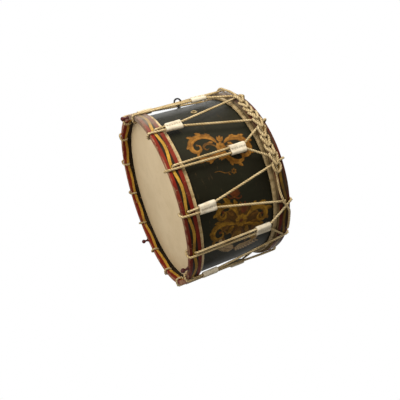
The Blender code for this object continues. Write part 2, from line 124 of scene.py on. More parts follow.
def makeCamera():
    data = bpy.data.cameras.new("camera")
    data.lens = view["lens"]
    data.sensor_width = 36.0
    camera = placed("camera", data)
    camera.location = view["place"]
    camera.rotation_euler = [math.radians(a) for a in view["turn"]]
    bpy.context.scene.camera = camera
    bpy.context.view_layer.update()


def makeLamps():
    for name, lamp in view["lamps"].items():
        data = bpy.data.lights.new(name, "AREA")
        data.shape = "DISK"
        data.size = lamp["size"]
        data.energy = lamp["power"]
        light = placed(name, data)
        aim = Vector((0, 0, middle)) - Vector(lamp["place"])
        light.location = lamp["place"]
        light.rotation_euler = aim.to_track_quat("-Z", "Y").to_euler()


class Wire:
    # A socket that can be used in arithmetic: each operator adds its Math node
    def __init__(self, nodes, socket):
        self.nodes = nodes
        self.socket = socket

    def calc(self, operation, *values, clamp=False):
        settings = {"operation": operation, "use_clamp": clamp}
        return self.nodes.node("Math", settings, dict(enumerate(values)))

    def __add__(self, other):
        return self.calc("ADD", self, other)

    def __radd__(self, other):
        return self.calc("ADD", other, self)

    def __sub__(self, other):
        return self.calc("SUBTRACT", self, other)

    def __rsub__(self, other):
        return self.calc("SUBTRACT", other, self)

    def __mul__(self, other):
        return self.calc("MULTIPLY", self, other)

    def __rmul__(self, other):
        return self.calc("MULTIPLY", other, self)

    def __truediv__(self, other):
        return self.calc("DIVIDE", self, other)

    def __pow__(self, other):
        return self.calc("POWER", self, other)

    def __abs__(self):
        return self.calc("ABSOLUTE", self)

    def rise(self, at, soft):
        # 0 below the value at, 1 above it, over a soft edge
        return ((self - at) / soft + 0.5).clamp()

    def clamp(self):
        return self.calc("ADD", self, 0.0, clamp=True)

    def most(self, other):
        return self.calc("MAXIMUM", self, other)

    def root(self):
        return self.calc("SQRT", self)

    def cosine(self):
        return self.calc("COSINE", self)

    def fraction(self):
        return self.calc("FRACT", self)


class Nodes:
    # A node tree: every node comes from node(), as the Wire of one of its outputs
    def __init__(self, tree):
        self.tree = tree

    def node(self, kind, settings=None, sockets=None, out=0):
        made = self.tree.nodes.new("ShaderNode" + kind)
        for key, value in (settings or {}).items():
            setattr(made, key, value)
        for key, value in (sockets or {}).items():
            self.plug(made.inputs[key], value)
        return Wire(self, made.outputs[out])

    def plug(self, socket, value):
        if isinstance(value, Wire):
            self.tree.links.new(value.socket, socket)
        elif hasattr(value, "__len__") and socket.type == "RGBA" and len(value) == 3:
            socket.default_value = (*value, 1.0)
        else:
            socket.default_value = value

    def seen(self):
        # 1 for what the camera sees, also in metal and through glass; 0 for the light on the drum
        camera, glossy, through = [self.node("LightPath", out="Is " + kind + " Ray")
                                   for kind in ("Camera", "Glossy", "Transmission")]
        return camera.most(glossy).most(through)


class Finish(Nodes):
    # A Principled material whose varying sockets are wired from expressions
    def __init__(self, name, **fixed):
        self.material = bpy.data.materials.new(name)
        self.material.use_nodes = True
        super().__init__(self.material.node_tree)
        self.shader = self.tree.nodes["Principled BSDF"]
        for socket, value in fixed.items():
            self.plug(self.shader.inputs[socket.replace("_", " ")], value)

    def place(self):
        return self.node("TexCoord", out="Object")

    def split(self, vector):
        return [self.node("SeparateXYZ", None, {0: vector}, out) for out in range(3)]

    def stretch(self, vector, amounts):
        return self.node("VectorMath", {"operation": "MULTIPLY"}, {0: vector, 1: amounts})

    def noise(self, vector, scale, detail=3.0, roughness=0.55):
        sockets = {"Vector": vector, "Scale": scale, "Detail": detail, "Roughness": roughness}
        return self.node("TexNoise", None, sockets)

    def blend(self, amount, one, two):
        # a colour mix; amount 0 gives one, 1 gives two
        settings = {"data_type": "RGBA"}
        return self.node("Mix", settings, {"Factor": amount, 6: one, 7: two}, out=2)

    def shade(self, colour, amount):
        # a colour times a value
        return self.node("VectorMath", {"operation": "SCALE"}, {0: colour, "Scale": amount})

    def bump(self, height, distance, strength=1.0):
        return self.node("Bump", None, {"Height": height, "Distance": distance, "Strength": strength})

    def paint(self, colour=None, roughness=None, normal=None, metallic=None):
        for socket, value in (("Base Color", colour), ("Roughness", roughness),
                              ("Normal", normal), ("Metallic", metallic)):
            if value is not None:
                self.plug(self.shader.inputs[socket], value)
        return self.material


def makeStage():
    # the floor shows only from above: the photograph's view comes from below it, and light passes it
    scene = bpy.context.scene
    scene.view_settings.view_transform = "Standard"
    reach = view["floorReach"]
    corners = [(-reach, -reach, 0), (reach, -reach, 0), (reach, reach, 0), (-reach, reach, 0)]
    mesh = bpy.data.meshes.new("floor")
    mesh.from_pydata(corners, [], [(0, 1, 2, 3)])
    placed("floor", mesh)
    cover = Finish("floor", Base_Color=view["floorColour"], Roughness=0.9)
    pale = cover.node("Emission", None, {"Color": (1, 1, 1), "Strength": 1.0})
    matt = Wire(cover, cover.shader.outputs[0])
    shaded = cover.node("MixShader", None, {0: view["floorGlow"], 1: matt, 2: pale})
    shown = cover.seen() * (1 - cover.node("NewGeometry", out="Backfacing"))
    mixed = cover.node("MixShader", None, {0: shown, 1: cover.node("BsdfTransparent"), 2: shaded})
    cover.plug(cover.tree.nodes["Material Output"].inputs["Surface"], mixed)
    mesh.materials.append(cover.material)

    scene.world = bpy.data.worlds.new("studio")
    scene.world.use_nodes = True
    sky = Nodes(scene.world.node_tree)
    sky.tree.nodes.clear()
    soft = sky.node("Background", None, {"Color": (1, 1, 1), "Strength": view["worldLevel"]})
    white = sky.node("Background", None, {"Color": (1, 1, 1), "Strength": 1.0})
    mixed = sky.node("MixShader", None, {0: sky.seen(), 1: soft, 2: white})
    sky.plug(sky.tree.nodes.new("ShaderNodeOutputWorld").inputs["Surface"], mixed)


makeCamera()
makeStage()
makeLamps()
print("camera, floor and lights made")


# Meshes

def addPiece(name, mesh, material, body="drum", replaced=()):
    piece = placed(name, mesh)
    mesh.materials.clear()
    mesh.materials.append(material)
    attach(piece, body)
    if replaced:
        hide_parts(*replaced)


def gridMesh(name, points, wrapRows=False, wrapCols=True, caps=False, uvSpan=(1.0, 1.0), values=None):
    # points is rows x columns x 3; columns go round a section and rows go along it
    rows, cols = points.shape[:2]
    rowSteps = rows if wrapRows else rows - 1
    colSteps = cols if wrapCols else cols - 1
    i, j = np.meshgrid(np.arange(rowSteps), np.arange(colSteps), indexing="ij")
    i, j = i.ravel(), j.ravel()
    corners = [(i, j), (i, j + 1), (i + 1, j + 1), (i + 1, j)]
    faces = np.stack([(a % rows) * cols + (b % cols) for a, b in corners], axis=1)
    faceList = faces.tolist()
    uvs = np.stack([np.stack([b / colSteps * uvSpan[0], a / max(rowSteps, 1) * uvSpan[1]], axis=1)
                    for a, b in corners], axis=1).reshape(-1, 2)
    if caps:
        faceList.append(list(range(cols))[::-1])
        faceList.append([(rows - 1) * cols + k for k in range(cols)])
        uvs = np.vstack([uvs, np.zeros((2 * cols, 2))])
    mesh = bpy.data.meshes.new(name)
    mesh.from_pydata(points.reshape(-1, 3).tolist(), [], faceList)
    layer = mesh.uv_layers.new(name="UVMap")
    layer.data.foreach_set("uv", uvs.ravel().astype(np.float32))
    if values is not None:
        extra = mesh.attributes.new("tone", "FLOAT", "POINT")
        extra.data.foreach_set("value", values.ravel().astype(np.float32))
    mesh.shade_smooth()
    mesh.update()
    return mesh


def turnedMesh(name, profile, sides, matrix=None, closed=True, wave=None):
    # profile is a list of (radius, height), down the outer side and, on a ring, up the inner side
    turns = np.arange(sides) / sides * 2 * math.pi
    grid = np.zeros((len(profile), sides, 3))
    for row, (radius, height) in enumerate(profile):
        radii = np.full(sides, radius)
        heights = np.full(sides, height)
        if wave:
            radii, heights = wave(turns, radii, heights)
        grid[row] = np.stack([radii * np.cos(turns), radii * np.sin(turns), heights], axis=1)
    mesh = gridMesh(name, grid[::-1], wrapRows=closed)
    if not closed:
        rework(mesh, weld)
    if matrix is not None:
        mesh.transform(matrix)
    return mesh


def rework(mesh, change):
    bm = bmesh.new()
    bm.from_mesh(mesh)
    change(bm)
    bm.to_mesh(mesh)
    bm.free()


def weld(bm):
    bmesh.ops.remove_doubles(bm, verts=bm.verts, dist=1e-6)


def faceOut(bm):
    bmesh.ops.recalc_face_normals(bm, faces=bm.faces)


def smooth(mesh, sharpAngle):
    mesh.shade_smooth()
    mesh.set_sharp_from_angle(angle=math.radians(sharpAngle))


def rounded(corners, radius, steps=4, closed=True):
    # a profile with its corners rounded; each corner may carry a radius of its own
    points = []
    count = len(corners)
    for k, corner in enumerate(corners):
        here = np.array(corner[:2], float)
        size = corner[2] if len(corner) > 2 else radius
        if size == 0 or (not closed and k in (0, count - 1)):
            points.append(tuple(here))
            continue
        before = np.array(corners[k - 1][:2], float) - here
        after = np.array(corners[(k + 1) % count][:2], float) - here
        before /= np.linalg.norm(before)
        after /= np.linalg.norm(after)
        half = math.acos(max(-1.0, min(1.0, float(before @ after)))) / 2
        reach = size / math.tan(half)
        centre = here + (before + after) / np.linalg.norm(before + after) * size / math.sin(half)
        first = here + before * reach - centre
        last = here + after * reach - centre
        for n in range(steps + 1):
            t = n / steps
            arm = first * (1 - t) + last * t
            points.append(tuple(centre + arm / np.linalg.norm(arm) * size))
    return points


def evenPath(points, spacing, rounding):
    # the same route at an even spacing, with its corners eased
    points = np.array([tuple(p) for p in points], float)
    gaps = np.linalg.norm(np.diff(points, axis=0), axis=1)
    along = np.concatenate([[0], np.cumsum(gaps)])
    count = int(along[-1] / spacing) + 1
    places = np.linspace(0, along[-1], count)
    path = np.stack([np.interp(places, along, points[:, k]) for k in range(3)], axis=1)
    half = max(1, int(rounding / spacing))
    kernel = np.hanning(2 * half + 3)[1:-1]
    kernel /= kernel.sum()
    padded = np.concatenate([path[:1] + (path[:1] - path[half:0:-1]), path,
                             path[-1:] + (path[-1:] - path[-2:-half - 2:-1])])
    return np.stack([np.convolve(padded[:, k], kernel, "valid") for k in range(3)], axis=1), along[-1]


def sweepFrames(path):
    tangents = np.gradient(path, axis=0)
    tangents /= np.linalg.norm(tangents, axis=1)[:, None]
    normals = np.zeros_like(path)
    side = np.cross(tangents[0], (0.3, 0.5, 0.8))
    for k, tangent in enumerate(tangents):
        side = side - tangent * (side @ tangent)
        side /= np.linalg.norm(side)
        normals[k] = side
    return tangents, normals, np.cross(tangents, normals)


def tubeGrid(path, reach, angles):
    # a section, given by its reach at each angle, carried along the path
    tangents, normals, sides = sweepFrames(path)
    return (path[:, None, :] + (reach * np.cos(angles))[:, :, None] * normals[:, None, :]
            + (reach * np.sin(angles))[:, :, None] * sides[:, None, :])


def ropeMesh(name, points, radius, spacing=0.0018, rounding=0.003, pitch=0.021, fade=0.0):
    # a laid rope: three strands whose section turns as it goes along
    lobes, perLobe, strand = 3, 4, 0.56
    path, length = evenPath(points, spacing, rounding)
    count = len(path)
    turns = np.arange(lobes * perLobe) / (lobes * perLobe) * 2 * math.pi
    sector = 2 * math.pi / lobes
    offset = (turns + sector / 2) % sector - sector / 2
    core = 1 - strand
    lobed = core * np.cos(offset) + np.sqrt(strand ** 2 - (core * np.sin(offset)) ** 2)
    twist = np.arange(count) / (count - 1) * length / pitch * 2 * math.pi
    size = np.full(count, radius)
    if fade:
        ends = np.minimum(np.arange(count), np.arange(count)[::-1]) * spacing / fade
        size = radius * np.sqrt(np.clip(1 - (1 - np.clip(ends, 0, 1)) ** 2, 0.05, 1))
    grid = tubeGrid(path, size[:, None] * lobed[None, :], turns[None, :] + twist[:, None])
    return gridMesh(name, grid, caps=True, uvSpan=(lobes, length)), length


# Finishes; the varnish on old paint gives its sheen a warm tint

varnish = (1.0, 0.82, 0.55)


def facing(azimuth, side, ragged=0.0):
    # 1 towards one side of the drum; side gives its azimuth, and how far from it the 1 ends and the 0 begins
    towards, full, gone = [math.radians(angle) for angle in side]
    near, far = math.cos(full), math.cos(gone)
    return ((azimuth - towards).cosine() + ragged).rise((near + far) / 2, near - far)


def paintedHoop(name, rim, inward, firstHole, dirt, level):
    # red edges, a black band between them and a gold line that winds past the cord holes
    # all in millimetres from the rim, and a line is its middle, swing and half width
    look = {
        "red": (0.225, 0.016, 0.008),
        "darkRed": (0.105, 0.008, 0.004),
        "black": (0.0075, 0.0055, 0.0035),
        "gold": (0.590, 0.325, 0.040),
        "oldGold": (0.290, 0.145, 0.020),
        "wood": (0.400, 0.240, 0.130),
        "edge": (0.430, 0.300, 0.125),
        "dirt": (0.105, 0.066, 0.036),
        # the pale colour of dust, which also paints a highlight
        "dustAndSheen": (0.225, 0.180, 0.130),
        "outerRed": 7.7,
        "innerRed": 22.7,
        "line": (15.0, 2.9, 3.5),
        "insideRed": 10.4,
        "insideLine": (12.7, 1.7, 3.7),
        "bareEdge": 32.15,
        # the side that is painted darker as shade, and how dark it is painted
        "shadedSide": (-60.0, 26.0, 50.0),
        "shadedLevel": 0.60,
        # the top side, paler with dust and a painted highlight
        "dustAndSheenSide": (-167.0, 11.0, 31.0),
    }
    finish = Finish(name, Specular_IOR_Level=0.04, Specular_Tint=varnish)
    place = finish.place()
    x, y, z = finish.split(place)
    depth = (z - rim) * (1000 * inward)
    radius = (x * x + y * y).root() * 1000
    azimuth = finish.node("Math", {"operation": "ARCTAN2"}, {0: y, 1: x})
    wave = ((azimuth - math.radians(firstHole)) * drum["vees"]).cosine()
    hand = (finish.noise(place, 70, 2) - 0.5) * 1.5
    inside = 1 - radius.rise(230.0, 0.6)

    def goldLine(centre, swing, half):
        return 1 - abs(depth + hand + wave * swing - centre).rise(half, 0.5)

    outerRed = 1 - (depth + hand * 0.5).rise(look["outerRed"], 0.4)
    red = outerRed.most((depth + hand * 0.4).rise(look["innerRed"], 0.4))
    redInside = 1 - (depth + hand * 0.5).rise(look["insideRed"], 0.4)
    redMask = red + (redInside - red) * inside
    gold = goldLine(*look["line"])
    goldMask = gold + (goldLine(*look["insideLine"]) - gold) * inside
    cloud = finish.noise(place, 22, 4, 0.6)
    fine = finish.noise(place, 160, 4, 0.65)
    redTone = finish.blend(cloud.rise(0.52, 0.35), look["red"], look["darkRed"])
    goldTone = finish.blend((cloud * 0.6 + fine * 0.4).rise(0.52, 0.22), look["gold"], look["oldGold"])
    tone = finish.blend(redMask, look["black"], redTone)
    tone = finish.blend(goldMask, tone, goldTone)
    chip = fine.rise(0.655, 0.03) * cloud.rise(0.50, 0.2)
    worn = finish.noise(place, 48, 5, 0.7).rise(0.50, 0.16) * (1 - depth.rise(1.2, 1.4)) * 0.8
    # the edge face towards the shell was left nearly bare
    ragged = finish.noise(place, 60, 4, 0.7).rise(0.45, 0.2)
    bare = depth.rise(look["bareEdge"], 0.2) * (0.55 + ragged * 0.45)
    wear = chip.most(worn).clamp()
    tone = finish.blend(wear, tone, look["wood"])
    tone = finish.blend(bare.clamp(), tone, look["edge"])
    soiled = (finish.noise(place, 17, 4, 0.6).rise(0.50, 0.30) * dirt).clamp()
    tone = finish.blend(soiled, tone, look["dirt"])
    # one side is darker, as painted shade where light falls away from it, and another is paler, with dust
    # and a painted highlight where light falls from above
    paintedShadeLevel = 1 - facing(azimuth, look["shadedSide"]) * (1 - look["shadedLevel"])
    dustAndSheenMask = facing(azimuth, look["dustAndSheenSide"], (cloud - 0.5) * 0.20)
    dustAndSheenMask = dustAndSheenMask * (1 - inside) * (0.26 + cloud * 0.82)
    tone = finish.blend(dustAndSheenMask, tone, look["dustAndSheen"])
    # level darkens a whole hoop, the upper one as painted shade
    tone = finish.shade(tone, (0.74 + finish.noise(place, 11, 3) * 0.5) * level * paintedShadeLevel)
    grain = finish.noise(finish.stretch(place, (1, 1, 9)), 60, 4, 0.6)
    height = grain * 0.5 - wear * 0.6 + goldMask * 0.25 + fine * 0.3
    roughness = 0.40 + wear * 0.3 + cloud * 0.18 + soiled * 0.15
    return finish.paint(tone, roughness, finish.bump(height, 0.00035, 0.6))


def paintedShell():
    # old green-black paint: brush streaks along the boards, scuffs, and rubbed places
    look = {
        "dark": (0.0062, 0.0056, 0.0027),
        "green": (0.0100, 0.0102, 0.0052),
        "brown": (0.056, 0.034, 0.014),
    }
    finish = Finish("shell_paint", Specular_IOR_Level=0.10, Specular_Tint=varnish)
    place = finish.place()
    cloud = finish.noise(place, 9, 4, 0.6)
    streak = finish.noise(finish.stretch(place, (1, 1, 0.10)), 130, 4, 0.6)
    fine = finish.noise(place, 300, 3, 0.6)
    scuff = finish.noise(finish.stretch(place, (1, 1, 5)), 26, 6, 0.75)
    marks = scuff.rise(0.635, 0.05) * 0.5
    scratch = finish.noise(finish.stretch(place, (7, 7, 0.6)), 40, 5, 0.7).rise(0.70, 0.02) * 0.6
    tone = finish.blend(cloud.rise(0.5, 0.3), look["dark"], look["green"])
    tone = finish.blend(marks.most(scratch), tone, look["brown"])
    tone = finish.shade(tone, 0.75 + streak * 0.5)
    height = streak * 0.5 + fine * 0.15 - scratch * 0.8 - marks * 0.3
    return finish.paint(tone, 0.50 + cloud * 0.18 + marks * 0.2, finish.bump(height, 0.0003, 0.55))


def skinFinish(name, lapShade=1.0):
    # calfskin: clouded, with faint veins and a darker ring where it bears on the shell
    # ring and lapFrom are distances from the drum's axis, in millimetres
    look = {
        "pale": (0.680, 0.530, 0.325),
        "dark": (0.520, 0.385, 0.210),
        "vein": (0.46, 0.34, 0.18),
        "lap": (0.560, 0.400, 0.190),
        "stain": (0.270, 0.175, 0.065),
        "ring": 223.0,
        "lapFrom": 226.9,
    }
    finish = Finish(name, Specular_IOR_Level=0.15)
    place = finish.place()
    x, y, _ = finish.split(place)
    radius = (x * x + y * y).root() * 1000
    cloud = finish.noise(place, 7, 5, 0.62)
    speck = finish.noise(place, 230, 3, 0.7)
    patch = finish.noise(place, 34, 5, 0.65)
    drift = finish.node("TexNoise", None, {"Vector": place, "Scale": 9.0, "Detail": 3.0}, out=1)
    drift = finish.stretch(drift, (0.05, 0.05, 0.05))
    warped = finish.node("VectorMath", {"operation": "ADD"}, {0: place, 1: drift})
    vein = 1 - abs(finish.noise(warped, 13, 2) - 0.5).rise(0.007, 0.012)
    edge = radius.rise(196, 60)
    mottled = (cloud * 0.55 + patch * 0.3 + speck * 0.15).rise(0.50, 0.34)
    tone = finish.blend((mottled * 0.75 + edge * 0.35).clamp(), look["pale"], look["dark"])
    tone = finish.blend(vein * 0.16, tone, look["vein"])
    ring = 1 - abs(radius - look["ring"]).rise(1.6, 1.8)
    tone = finish.blend(ring * 0.35, tone, look["dark"])
    lapped = radius.rise(look["lapFrom"], 0.4)
    fold = finish.noise(finish.stretch(place, (1, 1, 0.35)), 95, 4, 0.65)
    lapTone = finish.blend((fold * 0.55 + patch * 0.45).rise(0.54, 0.16), look["lap"], look["stain"])
    # the lap's colour is scaled by its level, on the upper head as painted shade
    tone = finish.blend(lapped, tone, finish.shade(lapTone, lapShade))
    height = patch * 0.5 + speck * 0.35 + fold * lapped * 1.2 - ring * 0.5
    return finish.paint(tone, 0.50 + speck * 0.12 - edge * 0.05, finish.bump(height, 0.0004, 0.5))


def woodFinish(name, pale, dark, roughness=0.55, rings=38, along=(1, 1, 0.16)):
    finish = Finish(name, Specular_IOR_Level=0.2)
    place = finish.place()
    grain = finish.noise(finish.stretch(place, along), rings, 5, 0.6)
    fibre = finish.noise(finish.stretch(place, along), rings * 9, 3, 0.6)
    tone = finish.blend((grain * 0.6 + fibre * 0.4).rise(0.5, 0.3), pale, dark)
    return finish.paint(tone, roughness + grain * 0.12, finish.bump(grain * 0.5 + fibre * 0.5, 0.0003, 0.5))


def hempFinish(name, warm=1.0):
    # the UV map runs once per strand round the cord and in metres along it
    look = {
        "pale": (0.700, 0.545, 0.300),
        "tan": (0.440, 0.300, 0.125),
        "groove": (0.105, 0.062, 0.020),
        "dirt": (0.300, 0.200, 0.075),
    }
    finish = Finish(name, Specular_IOR_Level=0.1)
    place = finish.place()
    uv = finish.node("UVMap")
    groove = (abs(finish.split(uv)[0].fraction() - 0.5) * 2) ** 3
    fibre = finish.noise(finish.stretch(uv, (14, 420, 1)), 1.0, 4, 0.6)
    cloud = finish.noise(place, 24, 4, 0.6)
    dirty = finish.noise(place, 52, 4, 0.65).rise(0.60, 0.16)
    tone = finish.blend(cloud.rise(0.5, 0.34), look["pale"], look["tan"])
    tone = finish.blend(dirty * 0.45, tone, look["dirt"])
    # the near-black groove colour is painted shade between the strands
    tone = finish.blend(groove * 0.85, tone, look["groove"])
    tone = finish.shade(tone, (0.82 + fibre * 0.36) * warm)
    height = fibre * 0.7 - groove * 0.8
    return finish.paint(tone, 0.82, finish.bump(height, 0.0006, 0.8))


def leatherFinish():
    # whitened buff leather: fine grain, rubbed grey patches, browner at its cut ends
    look = {
        "white": (0.670, 0.580, 0.420),
        "buff": (0.480, 0.370, 0.225),
        "grey": (0.330, 0.290, 0.220),
    }
    finish = Finish("buff_leather", Specular_IOR_Level=0.15)
    place = finish.place()
    grain = finish.node("TexVoronoi", {"feature": "F1"}, {"Vector": place, "Scale": 950.0})
    cloud = finish.noise(place, 60, 4, 0.62)
    rubbed = finish.noise(place, 150, 5, 0.7)
    cut = finish.node("Attribute", {"attribute_name": "tone"}, out=2)
    tone = finish.blend(cloud.rise(0.54, 0.24) * 0.55, look["white"], look["buff"])
    tone = finish.blend(rubbed.rise(0.60, 0.10) * 0.35, tone, look["grey"])
    tone = finish.blend(cut, tone, look["buff"])
    height = grain * -0.5 + rubbed * 0.6
    return finish.paint(tone, 0.68 + cloud * 0.15, finish.bump(height, 0.0005, 0.6))


def threadFinish():
    finish = Finish("waxed_thread")
    place = finish.place()
    fibre = finish.noise(place, 420, 3, 0.6)
    tone = finish.blend(fibre.rise(0.5, 0.3), (0.52, 0.44, 0.32), (0.26, 0.20, 0.13))
    return finish.paint(tone, 0.7, finish.bump(fibre, 0.0002, 0.6))


def ironFinish():
    finish = Finish("black_iron", Specular_IOR_Level=0.2)
    place = finish.place()
    cloud = finish.noise(place, 140, 5, 0.65)
    pits = finish.noise(place, 520, 3, 0.6)
    rust = cloud.rise(0.56, 0.12)
    tone = finish.blend(rust, (0.012, 0.012, 0.011), (0.050, 0.026, 0.014))
    bump = finish.bump(pits * 0.7 + cloud * 0.5, 0.0005, 0.6)
    return finish.paint(tone, 0.46 + rust * 0.25, bump, 0.35 - rust * 0.3)


def brassFinish():
    finish = Finish("vent_brass", Specular_IOR_Level=0.2)
    place = finish.place()
    cloud = finish.noise(place, 120, 5, 0.65)
    dull = cloud.rise(0.5, 0.25)
    tone = finish.blend(dull, (0.34, 0.24, 0.095), (0.15, 0.10, 0.045))
    return finish.paint(tone, 0.34 + dull * 0.3, finish.bump(cloud, 0.0003, 0.5), 0.45 - dull * 0.25)


def gildFinish(name, light, deep, line):
    # painted gilding; the mesh's tone is 1 along veins and edges, and strokes are darker on one side as
    # painted shade
    finish = Finish(name, Specular_IOR_Level=0.08, Specular_Tint=varnish)
    place = finish.place()
    tone = finish.node("Attribute", {"attribute_name": "tone"}, out=2)
    cloud = finish.noise(place, 75, 4, 0.6)
    fine = finish.noise(place, 420, 4, 0.65)
    body = finish.blend((cloud * 0.65 + fine * 0.35).rise(0.51, 0.22), light, deep)
    body = finish.blend((tone + fine * 0.3 - 0.15).clamp(), body, line)
    rub = fine.rise(0.63, 0.05) * cloud.rise(0.50, 0.2)
    body = finish.blend(rub, body, (0.020, 0.018, 0.013))
    return finish.paint(body, 0.42 + cloud * 0.15, finish.bump(fine, 0.0002, 0.4))


# light and deep tones, and the tone of veins and edges
gilts = {
    "orange": ((0.320, 0.135, 0.018), (0.150, 0.055, 0.007), (0.024, 0.010, 0.003)),
    "ochre": ((0.300, 0.150, 0.016), (0.105, 0.046, 0.005), (0.018, 0.009, 0.002)),
    "umber": ((0.078, 0.032, 0.005), (0.030, 0.015, 0.003), (0.150, 0.070, 0.010)),
    "brown": ((0.150, 0.066, 0.010), (0.070, 0.028, 0.005), (0.014, 0.006, 0.002)),
    "red": ((0.130, 0.032, 0.008), (0.060, 0.017, 0.005), (0.012, 0.005, 0.002)),
    "cream": ((0.430, 0.290, 0.140), (0.250, 0.155, 0.066), (0.030, 0.017, 0.007)),
}
finishes = {
    "shell": paintedShell(),
    "lowerHoop": paintedHoop("lower_hoop_paint", lowRim, 1, lowHole(0), 0.22, 1.0),
    # the upper hoop is painted darker as shade: by its level, and in part by its heavier dirt
    "upperHoop": paintedHoop("upper_hoop_paint", highRim, -1, highHole(0), 0.80, 0.66),
    "lowerSkin": skinFinish("lower_skin"),
    # the upper head's lap is painted darker as shade
    "upperSkin": skinFinish("upper_skin", 0.62),
    "ash": woodFinish("ash_wood", (0.560, 0.385, 0.215), (0.330, 0.205, 0.105)),
    "foot": woodFinish("foot_wood", (0.095, 0.013, 0.009), (0.034, 0.006, 0.005), 0.30, 60, (1, 1, 0.3)),
    "hemp": hempFinish("hemp_cord"),
    "plait": hempFinish("hemp_plait", 0.90),
    "leather": leatherFinish(),
    "thread": threadFinish(),
    "iron": ironFinish(),
    "brass": brassFinish(),
}
for name, tones in gilts.items():
    finishes[name] = gildFinish(name + "_gilt", *tones)
print("finishes made:", len(finishes))


# Shell, hoops, heads

turned = {
    "sides": 224,
    "skinSides": 448,
    "shellEdge": 0.0018,
    "hoopEdge": 0.0019,
    "ventHole": (0.0053, 0.0002),
    "pegHole": (0.0019, 0.0004),
    "eyeHole": (0.0027, 0.0002),
    "cordHole": (drum["holeRadius"], 0.0009),
    "cutterEnd": 0.004,
    "cutterSides": 20,
    "holeEdge": 40,
}


def spoolTool(azimuth, height, hole, inner, outer):
    # a hole's cutter, widened at both mouths; hole is its radius and how far each mouth flares
    (radius, flare), end = hole, turned["cutterEnd"]
    mouth = radius + flare
    profile = [(0, outer + end), (mouth + end, outer + end), (mouth, outer), (radius, outer - flare),
               (radius, inner + flare), (mouth, inner), (mouth + end, inner - end), (0, inner - end)]
    return turnedMesh("hole", profile, turned["cutterSides"], radialAxis(azimuth, height), closed=False)


def joined(name, meshes):
    bm = bmesh.new()
    for mesh in meshes:
        bm.from_mesh(mesh)
    whole = bpy.data.meshes.new(name)
    bm.to_mesh(whole)
    bm.free()
    return whole


def combined(mesh, tool, operation, sharpAngle):
    # the mesh with the tool added to it or cut from it
    pair = [placed("solid", mesh), placed("tool", tool)]
    boolean = pair[0].modifiers.new("Combine", "BOOLEAN")
    boolean.operation = operation
    boolean.object = pair[1]
    boolean.solver = "EXACT"
    bpy.context.view_layer.update()
    done = bpy.data.meshes.new_from_object(pair[0].evaluated_get(bpy.context.evaluated_depsgraph_get()))
    for thing in pair:
        bpy.data.objects.remove(thing)
    smooth(done, sharpAngle)
    return done


def bored(name, profile, tools):
    mesh = turnedMesh(name, profile, turned["sides"])
    return combined(mesh, joined("tools", tools), "DIFFERENCE", turned["holeEdge"])


def makeShell():
    top = highRim - drum["recess"] - drum["skin"] - drum["gap"]
    bottom = lowRim + drum["recess"] + drum["skin"] + drum["gap"]
    outer, inner = drum["shellOuter"], drum["shellInner"]
    corners = [(outer, top), (outer, bottom), (inner, bottom), (inner, top)]
    tools = [spoolTool(*drum[name], turned[name + "Hole"], inner, outer) for name in ("vent", "peg", "eye")]
    mesh = bored("shell_wall", rounded(corners, turned["shellEdge"]), tools)
    addPiece("shell_wall", mesh, finishes["shell"], replaced=["shell"])


def firstEnd():
    return highHole(-1) + drum["firstEnd"]


def makeHoops():
    outer, inner = drum["hoopOuter"], drum["hoopInner"]
    lowHoles = [lowHole(vee) for vee in range(drum["vees"])]
    highHoles = [highHole(vee) for vee in range(drum["vees"])] + [firstEnd()]
    for name, rim, toward, holes in (("lower", lowRim, 1, lowHoles), ("upper", highRim, -1, highHoles)):
        low, high = sorted((rim, rim + toward * drum["hoopWidth"]))
        corners = [(outer, high), (outer, low), (inner, low), (inner, high)]
        height = rim + toward * drum["holeFromRim"]
        tools = [spoolTool(azimuth, height, turned["cordHole"], inner, outer) for azimuth in holes]
        mesh = bored(name, rounded(corners, turned["hoopEdge"], 5), tools)
        node = name + "_counterhoop"
        addPiece(node + "_wood", mesh, finishes[name + "Hoop"], replaced=[node])


head = {
    "flatOut": 0.12,
    "bends": (0.0020, 0.0004, 0.0012, 0.0022),  # over the shell, in the tuck, round the flesh hoop
    "lapDepth": 0.0082,
    "lapEnd": 0.0022,
    # where the lap's unevenness starts, the length it grows over, its mean, its coarse and fine ripples
    "unevenIn": (0.001, 0.004, 0.00010, 0.00007, 0.00006),
    "unevenDown": (0.002, 0.006, -0.0003, 0.00022, 0.00010),
    "seed": 11,
    "ripples": [3, 5, 8, 13, 21, 34, 47, 59, 71, 83, 97, 109],
    "sharp": 60,
}


